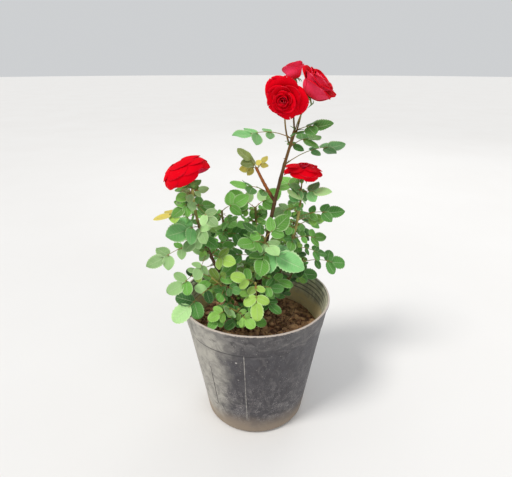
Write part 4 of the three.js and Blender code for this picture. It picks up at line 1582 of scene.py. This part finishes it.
def make_canes():
    """Every cane in its bark, and the prickles of all of them in one piece."""
    wood = settings("rose_wood")
    bark, tan, green = tuple(wood.bark), tuple(wood.tan), tuple(wood.green)
    finishes = {
        "brown": bark_finish("cane_bark", bark, shade(112, 104, 56), turn=0.62),
        "tall": bark_finish("tall_bark", shade(86, 60, 36), shade(116, 84, 44), turn=0.8),
        "old": bark_finish("old_bark", shade(88, 54, 34), tan, turn=0.24),
        "green": bark_finish("green_bark", bark, green, turn=0.8),
        "light": bark_finish("light_bark", shade(104, 84, 54), shade(158, 148, 86), turn=0.5),
    }
    prickles = Heap()
    for index, (name, cane) in enumerate(CANES.items()):
        piece = cane_piece(name, cane, finishes[BARKS.get(name, "brown")])
        nodes = [f"cane_{name}"] if cane["bare"] > 0 else []
        finish_piece(piece, "bark", *nodes)
        add_prickles(prickles, cane, index)
    finish = plain_finish("prickle", shade(132, 84, 56), shade(168, 124, 84))
    finish_piece(prickles.piece("prickles", [finish], smooth=False), "bark")


# Roses


def smooth_step(value):
    """0 below 0, 1 above 1 and a smooth step from one to the other."""
    value = np.clip(value, 0, 1)
    return value * value * (3 - 2 * value)


def petal_sheet(order, count, flower, chance, rows=15, columns=15):
    """One petal about +Z, of unit outer length: it rises from the seat, swells and leans out at its tip."""
    share = order / (count - 1)
    turn = math.radians(order * TURN_PER_LEAF + flower["turn"]) + (chance() - 0.5) * 0.3
    opening = flower["open"]
    foot = 18 + flower["flare"] * share
    belly = -2 + flower["belly"] * share ** 1.3
    tip = 4 + 50 * share ** 0.8 * opening + 62 * share ** flower["spread"] * flower["reflex"]
    foot, belly, tip = (math.radians(angle + 9 * (chance() - 0.5)) for angle in (foot, belly, tip))
    along = 1 - (1 - np.linspace(0, 1, rows)) ** 1.5
    lean = foot + (belly - foot) * smooth_step(along / flower["swell"])
    lean = lean + (tip - belly) * smooth_step((along - 0.42) / 0.58)
    heart = flower["heart"]
    length = (heart + (1.04 - heart) * share ** 0.9) * (1 + 0.1 * (chance() - 0.5))
    length *= 1 + flower["skew"] * share * math.cos(turn - math.radians(flower["long_side"]))
    steps = np.diff(along) * length
    middles = (lean[:-1] + lean[1:]) / 2
    spine_r = np.concatenate([[0], np.cumsum(np.sin(middles) * steps)]) + 0.02 + 0.03 * share
    spine_z = np.concatenate([[0], np.cumsum(np.cos(middles) * steps)]) + 0.1 * (1 - share)
    width = flower["breadth"] * (0.32 + 0.36 * share ** 0.7) * (1 + 0.12 * (chance() - 0.5))
    phase = chance() * 6.28
    ruffle = flower["ruffle"] * (0.4 + 0.6 * share)
    roll = (0.05 + 0.2 * share) * (0.4 + 0.6 * opening)
    # How much painted shade the petal takes, more on the inner petals
    tone = chance() * (1 - 0.6 * share)
    points, notes = [], []
    for i, s in enumerate(along):
        local = (0.3 + 0.7 * smooth_step(s / 0.62)) * rounding(s, 0.6)
        wrap = max(spine_r[i] * 1.08, 0.09 + 0.07 * share)
        out, up = math.cos(lean[i]), -math.sin(lean[i])
        for v in np.linspace(-1, 1, columns):
            arc = max(-2.2, min(2.2, v * width * local / wrap))
            back = roll * (max(0.0, abs(v) - 0.5) ** 2 * 2.2 * s * local + 0.7 * max(0.0, s - 0.8))
            back += ruffle * s * s * math.sin(v * 4.6 + phase) * (0.35 + abs(v) * local)
            longer = flower.get("crimp", 0) * s ** 6 * math.sin(v * 8 + phase)
            r = spine_r[i] + out * back - up * longer
            z = spine_z[i] + up * back + out * longer
            points.append((r - (1 - math.cos(arc)) * wrap, math.sin(arc) * wrap, z))
            notes.append((s, v, tone))
    return spun_about(points, turn), sheet_faces(rows, columns), np.array(notes)


def dome_petal(order, count, flower, chance, rows=17, columns=17):
    """One outer petal of a domed rose: hidden at its foot, it lies down over the ones that are below it."""
    share = order / (count - 1)
    turn = math.radians(order * TURN_PER_LEAF + flower["turn"]) + (chance() - 0.5) * 0.4
    start = math.radians(15 + 43 * share ** 0.8)
    reach = math.radians(34 + 22 * share) * (1 + 0.2 * (chance() - 0.5))
    reach *= 1 + flower["skew"] * share * math.cos(turn - math.radians(flower["long_side"]))
    # The first petals are broad enough to close round the heart
    half = flower["breadth"] * max(0.42 + 0.28 * share, 0.68 - 0.8 * share) * (1 + 0.1 * (chance() - 0.5))
    gap = 0.13 * (1 - share)
    phase = chance() * 6.28
    # How much painted shade the petal takes, more on the inner petals
    tone = 0.5 * chance() * (1 - 0.6 * share)
    hidden = 0.25
    along = 1 - (1 - np.linspace(0, 1, rows)) ** 1.4
    points, notes = [], []
    for s in along:
        seen = max(0.0, (s - hidden) / (1 - hidden))
        angle = start + reach * seen
        r, z = math.sin(angle), 0.26 + flower["dome"] * math.cos(angle)
        if s < hidden:
            climb = s / hidden
            r, z = r * climb ** 1.5, z * climb
        local = (0.45 + 0.55 * smooth_step(seen / 0.5)) * rounding(seen, 0.45)
        lift = gap + flower["perk"] * seen ** 3
        for v in np.linspace(-1, 1, columns):
            wave = flower["ruffle"] * seen * math.sin(v * 5.2 + phase) * (0.3 + abs(v) * local)
            lie = lift + wave - 0.03 * abs(v) ** 3 * local
            arc = max(-2.0, min(2.0, v * half * local / max(r, 0.2)))
            wide = r + math.sin(angle) * lie
            points.append((math.cos(arc) * wide, math.sin(arc) * wide, z + math.cos(angle) * lie))
            notes.append((0.35 + 0.65 * s, v, tone))
    return spun_about(points, turn), sheet_faces(rows, columns), np.array(notes)


def rounding(along, shoulder):
    """How much of its width a petal has left at a share of its length, in a round tip."""
    trim = max(0.0, (along - shoulder) / (1 - shoulder))
    return math.sqrt(max(0.0, 1 - trim ** 2.6)) * 0.94 + 0.06


def spun_about(points, turn):
    """The points turned about +Z."""
    points = np.array(points)
    c, k = math.cos(turn), math.sin(turn)
    return np.stack([
        points[:, 0] * c - points[:, 1] * k, points[:, 0] * k + points[:, 1] * c, points[:, 2],
    ], axis=1)


def sheet_faces(rows, columns):
    """The faces of a petal whose points are in rows from its foot to its tip."""
    faces = []
    for i in range(rows - 1):
        for j in range(columns - 1):
            a = i * columns + j
            faces.append((a, a + 1, a + columns + 1, a + columns))
    return faces


def face_basis(face):
    """The turn that carries +Z onto the way a flower faces, by the shortest way."""
    axis = Vector((0, 0, 1)).rotation_difference(Vector(face).normalized())
    return np.array(axis.to_matrix())


def make_roses():
    """Each rose petal by petal in a spiral, its walls made thick, with its calyx and stalk."""
    tones = settings("rose_petal")
    face = petal_finish("petal_face", tuple(tones.face), tuple(tones.deep), tuple(tones.rim))
    back = petal_finish(
        "petal_back", tuple(tones.back), tuple(tones.face), shade(240, 110, 136), paleness=0.8,
    )
    rim = plain_finish("petal_rim", tuple(tones.rim), tuple(tones.face), size=0.003, roughness=0.7)
    green = plain_finish("sepal_green", tuple(tones.sepal), shade(90, 128, 66))
    stalk_green = bark_finish("flower_stalk", shade(116, 92, 50), shade(166, 146, 80), turn=0.4)
    for index, (name, flower) in enumerate(ROSES.items()):
        chance = seeded(ROSE_SEED + index)
        heap = Heap()
        basis = face_basis(flower["face"])
        seat = np.array(flower["seat"], float)
        for order in range(flower["petals"]):
            points, faces, notes = petal_sheet(order, flower["petals"], flower, chance)
            points = points * flower.get("core", 1) + np.array([0, 0, flower.get("core_rise", 0)])
            heap.add(points * flower["radius"] @ basis.T + seat, faces, notes)
        for order in range(flower.get("outer", 0)):
            points, faces, notes = dome_petal(order, flower["outer"], flower, chance)
            heap.add(points * flower["radius"] @ basis.T + seat, faces, notes)
        piece = heap.piece(f"petals_{name}", [back, face, rim], attribute="petal")
        only(piece)
        wall = piece.modifiers.new("thickness", "SOLIDIFY")
        wall.thickness = PETAL_THICKNESS * MM
        wall.offset = 0
        wall.material_offset = 1
        wall.material_offset_rim = 2
        bpy.ops.object.modifier_apply(modifier=wall.name)
        bpy.ops.object.shade_smooth()
        finish_piece(piece, "petal", name)
        parts = Heap()
        add_calyx(parts, flower, basis, seat, chance)
        calyx = parts.piece(f"calyx_{name}", [green, stalk_green], attribute="cane")
        finish_piece(calyx, "leaf")


def add_calyx(heap, flower, basis, seat, chance):
    """The hip under a flower, its five sepals and its stalk."""
    size = flower["radius"]
    way = basis[:, 2]
    hip = [(-0.34, 0.05), (-0.3, 0.09), (-0.22, 0.125), (-0.12, 0.13), (-0.03, 0.1), (0.03, 0.11)]
    path = [seat + way * height * size for height, _ in hip]
    tube(heap, path, [radius * size for _, radius in hip], sides=10)
    for i in range(5):
        turn = math.radians(72 * i + 20)
        outward = np.array([math.cos(turn), math.sin(turn), 0])
        sideways = np.array([-math.sin(turn), math.cos(turn), 0])
        lean = math.radians(70 + 40 * chance())
        points, faces = [], []
        for k, s in enumerate(np.linspace(0, 1, 6)):
            bend = lean + s * math.radians(30 + 30 * chance())
            out, up = 0.08 + math.sin(bend) * s * 0.42, math.cos(bend) * s * 0.42
            middle = outward * out + np.array([0, 0, up])
            half = 0.085 * (1 - s) ** 0.6 * (0.6 + 0.9 * s)
            points += [middle - sideways * half, middle + np.array([0, 0, -0.01]), middle + sideways * half]
            if k:
                a = (k - 1) * 3
                faces += [(a, a + 1, a + 4, a + 3), (a + 1, a + 2, a + 5, a + 4)]
        heap.add(np.array(points) * size @ basis.T + seat, faces)
    end = seat - way * 0.3 * size
    curve = flower["start"], flower["bend"], end
    steps = np.linspace(0, 1, 10)
    radii = 1.25 - 0.2 * np.sin(steps * math.pi) + 0.35 * (steps > 0.95)
    tube(heap, bezier(curve, steps), radii, sides=8, notes=steps, slot=1)


def make_details():
    """Spent bud stubs above the tall cane, bracts at the roses' stalks and two dry twigs in the pot."""
    stubs, bracts, twigs = Heap(), Heap(), Heap()
    tip = np.array(CANES["tall"]["tip"], float)
    for away in ((16, -3, 34), (19, 4, 40), (12, -8, 30)):
        away = np.array(away, float)
        path = bezier((tip, tip + away * (0.35, 0.5, 0.6), tip + away), np.linspace(0, 1, 6))
        tube(stubs, path, [0.7, 0.62, 0.6, 0.6, 0.9, 0.35], sides=6)
    for place, way in BRACTS:
        add_bract(bracts, np.array(place, float), unit(way), 9)
    longer = [(61, 4, 170), (57, -2, 163), (47, -12, 157), (38, -20, 151)]
    tube(twigs, longer, [0.55, 0.6, 0.6, 0.5], sides=5)
    tube(twigs, [(30, 8, 170), (29, 0, 160), (27, -6, 150)], [0.45, 0.5, 0.5], sides=5)
    for name, heap, slot, finish, first, second in (
        ("bud_stubs", stubs, "leaf", "stub_green", shade(126, 138, 76), shade(150, 110, 70)),
        ("bracts", bracts, "leaf", "bract_green", shade(120, 168, 96), shade(84, 132, 72)),
        ("dry_twig", twigs, "bark", "dry_wood", shade(132, 104, 76), shade(84, 64, 48)),
    ):
        finish_piece(heap.piece(name, [plain_finish(finish, first, second)]), slot)


def add_bract(heap, root, way, length):
    """A small pointed leaf that bends down along its length."""
    side = unit(np.cross(way, (0, 0, 1)))
    up = np.cross(side, way)
    points, faces = [], []
    for k, s in enumerate(np.linspace(0, 1, 6)):
        middle = root + way * s * length - up * s * s * length * 0.3
        half = 0.17 * length * math.sin(math.pi * min(0.06 + 0.94 * s, 1)) ** 0.8
        points += [middle - side * half + up * 0.3, middle - up * 0.25, middle + side * half + up * 0.3]
        if k:
            a = (k - 1) * 3
            faces += [(a, a + 1, a + 4, a + 3), (a + 1, a + 2, a + 5, a + 4)]
    heap.add(points, faces)


# Stage


def area_light(name, place, aim, power, size):
    """A round soft lamp that shines from a place towards another."""
    data = bpy.data.lights.new(name, "AREA")
    data.energy = power
    data.shape = "DISK"
    data.size = size
    lamp = bpy.data.objects.new(name, data)
    lamp.location = place
    lamp.rotation_euler = (Vector(aim) - Vector(place)).to_track_quat("-Z", "Y").to_euler()
    bpy.context.collection.objects.link(lamp)


def sun_light(name, direction, power, softness, colour):
    """A soft lamp from far away, so that the floor is lit evenly."""
    data = bpy.data.lights.new(name, "SUN")
    data.energy = power
    data.angle = softness
    data.color = colour
    lamp = bpy.data.objects.new(name, data)
    lamp.rotation_euler = Vector(direction).to_track_quat("Z", "Y").to_euler()
    bpy.context.collection.objects.link(lamp)


def make_stage():
    """The camera, three soft lamps, an even sky and the floor."""
    store = settings("rose_stage")
    data = bpy.data.cameras.new("camera")
    data.lens = store.focal
    data.sensor_width = 36
    data.clip_start = 0.01
    eye = bpy.data.objects.new("camera", data)
    eye.location = store.eye
    eye.rotation_euler = (math.radians(90) - store.pitch, 0, 0)
    bpy.context.collection.objects.link(eye)
    bpy.context.scene.camera = eye
    sun_light("key_light", (-0.62, -0.5, 1.0), store.key, 0.3, (1.0, 0.98, 0.94))
    area_light("fill_light", (1.4, -1.6, 1.4), (0, 0, 0.25), store.fill, 1.4)
    area_light("back_light", (0.8, 1.8, 1.8), (0, 0, 0.3), store.fill, 1.4)
    world = bpy.data.worlds.new("soft_sky")
    world.use_nodes = True
    world.node_tree.nodes["Background"].inputs[0].default_value = (0.96, 0.98, 1.0, 1)
    world.node_tree.nodes["Background"].inputs[1].default_value = store.sky
    bpy.context.scene.world = world
    bpy.context.scene.view_settings.view_transform = "Standard"
    bpy.ops.mesh.primitive_circle_add(vertices=96, radius=20, fill_type="NGON", location=(0, 0, -0.0002))
    floor = bpy.context.object
    floor.name = "floor"
    finish = Finish("pale_floor", roughness=0.7, specular=0.3)
    cloud = finish.grain(0.4, detail=3)
    finish.feed("Base Color", finish.mix(cloud, shade(226, 224, 222), shade(232, 231, 230)))
    floor.data.materials.append(finish.material)


# Operators and panel


class ROSE_OT_stage(bpy.types.Operator):
    """Sets the camera, the lights and the pale floor"""
    bl_idname = "rose.stage"
    bl_label = "Stage"

    def execute(self, context):
        make_stage()
        return {"FINISHED"}


class ROSE_OT_pot(bpy.types.Operator):
    """Models the nursery pot with its rings, seams and worn rim"""
    bl_idname = "rose.pot"
    bl_label = "Pot"

    def execute(self, context):
        make_pot()
        return {"FINISHED"}


class ROSE_OT_soil(bpy.types.Operator):
    """Models the crumbly soil with its loose clods"""
    bl_idname = "rose.soil"
    bl_label = "Soil"

    def execute(self, context):
        make_soil()
        return {"FINISHED"}


class ROSE_OT_main_stem(bpy.types.Operator):
    """Models the knobbly foot of the bush"""
    bl_idname = "rose.main_stem"
    bl_label = "Main stem"

    def execute(self, context):
        make_main_stem()
        return {"FINISHED"}


class ROSE_OT_canes(bpy.types.Operator):
    """Models the canes with their bark, nodes and prickles"""
    bl_idname = "rose.canes"
    bl_label = "Canes"

    def execute(self, context):
        make_canes()
        return {"FINISHED"}


class ROSE_OT_foliage(bpy.types.Operator):
    """Grows the leaves by the source's rule, one piece for each tint"""
    bl_idname = "rose.foliage"
    bl_label = "Foliage"

    def execute(self, context):
        make_foliage()
        return {"FINISHED"}


class ROSE_OT_roses(bpy.types.Operator):
    """Models the open roses petal by petal, with their sepals and stalks"""
    bl_idname = "rose.roses"
    bl_label = "Roses"

    def execute(self, context):
        make_roses()
        return {"FINISHED"}


class ROSE_OT_details(bpy.types.Operator):
    """Models bud stubs, bracts and the dry twig"""
    bl_idname = "rose.details"
    bl_label = "Small details"

    def execute(self, context):
        make_details()
        return {"FINISHED"}


OPERATORS = (
    ROSE_OT_stage, ROSE_OT_pot, ROSE_OT_soil, ROSE_OT_main_stem, ROSE_OT_canes, ROSE_OT_foliage,
    ROSE_OT_roses, ROSE_OT_details,
)


class ROSE_PT_panel(bpy.types.Panel):
    """Lists the pieces of the rose bush"""
    bl_idname = "ROSE_PT_panel"
    bl_label = "Rose bush"
    bl_space_type = "VIEW_3D"
    bl_region_type = "UI"
    bl_category = "Rose bush"

    def draw(self, context):
        for operator in OPERATORS:
            self.layout.operator(operator.bl_idname)


SETTINGS = {
    "rose_pot": RosePotSettings, "rose_wood": RoseWoodSettings, "rose_leaf": RoseLeafSettings,
    "rose_petal": RosePetalSettings, "rose_stage": RoseStageSettings,
}
CLASSES = (*SETTINGS.values(), *OPERATORS, ROSE_PT_panel)


def register():
    for kind in CLASSES:
        bpy.utils.register_class(kind)
    for name, kind in SETTINGS.items():
        setattr(bpy.types.Scene, name, bpy.props.PointerProperty(type=kind))


def unregister():
    for name in SETTINGS:
        delattr(bpy.types.Scene, name)
    for kind in reversed(CLASSES):
        bpy.utils.unregister_class(kind)


def main():
    register()
    for operator in OPERATORS:
        family, action = operator.bl_idname.split(".")
        getattr(getattr(bpy.ops, family), action)()


if __name__ == "__main__":
    main()
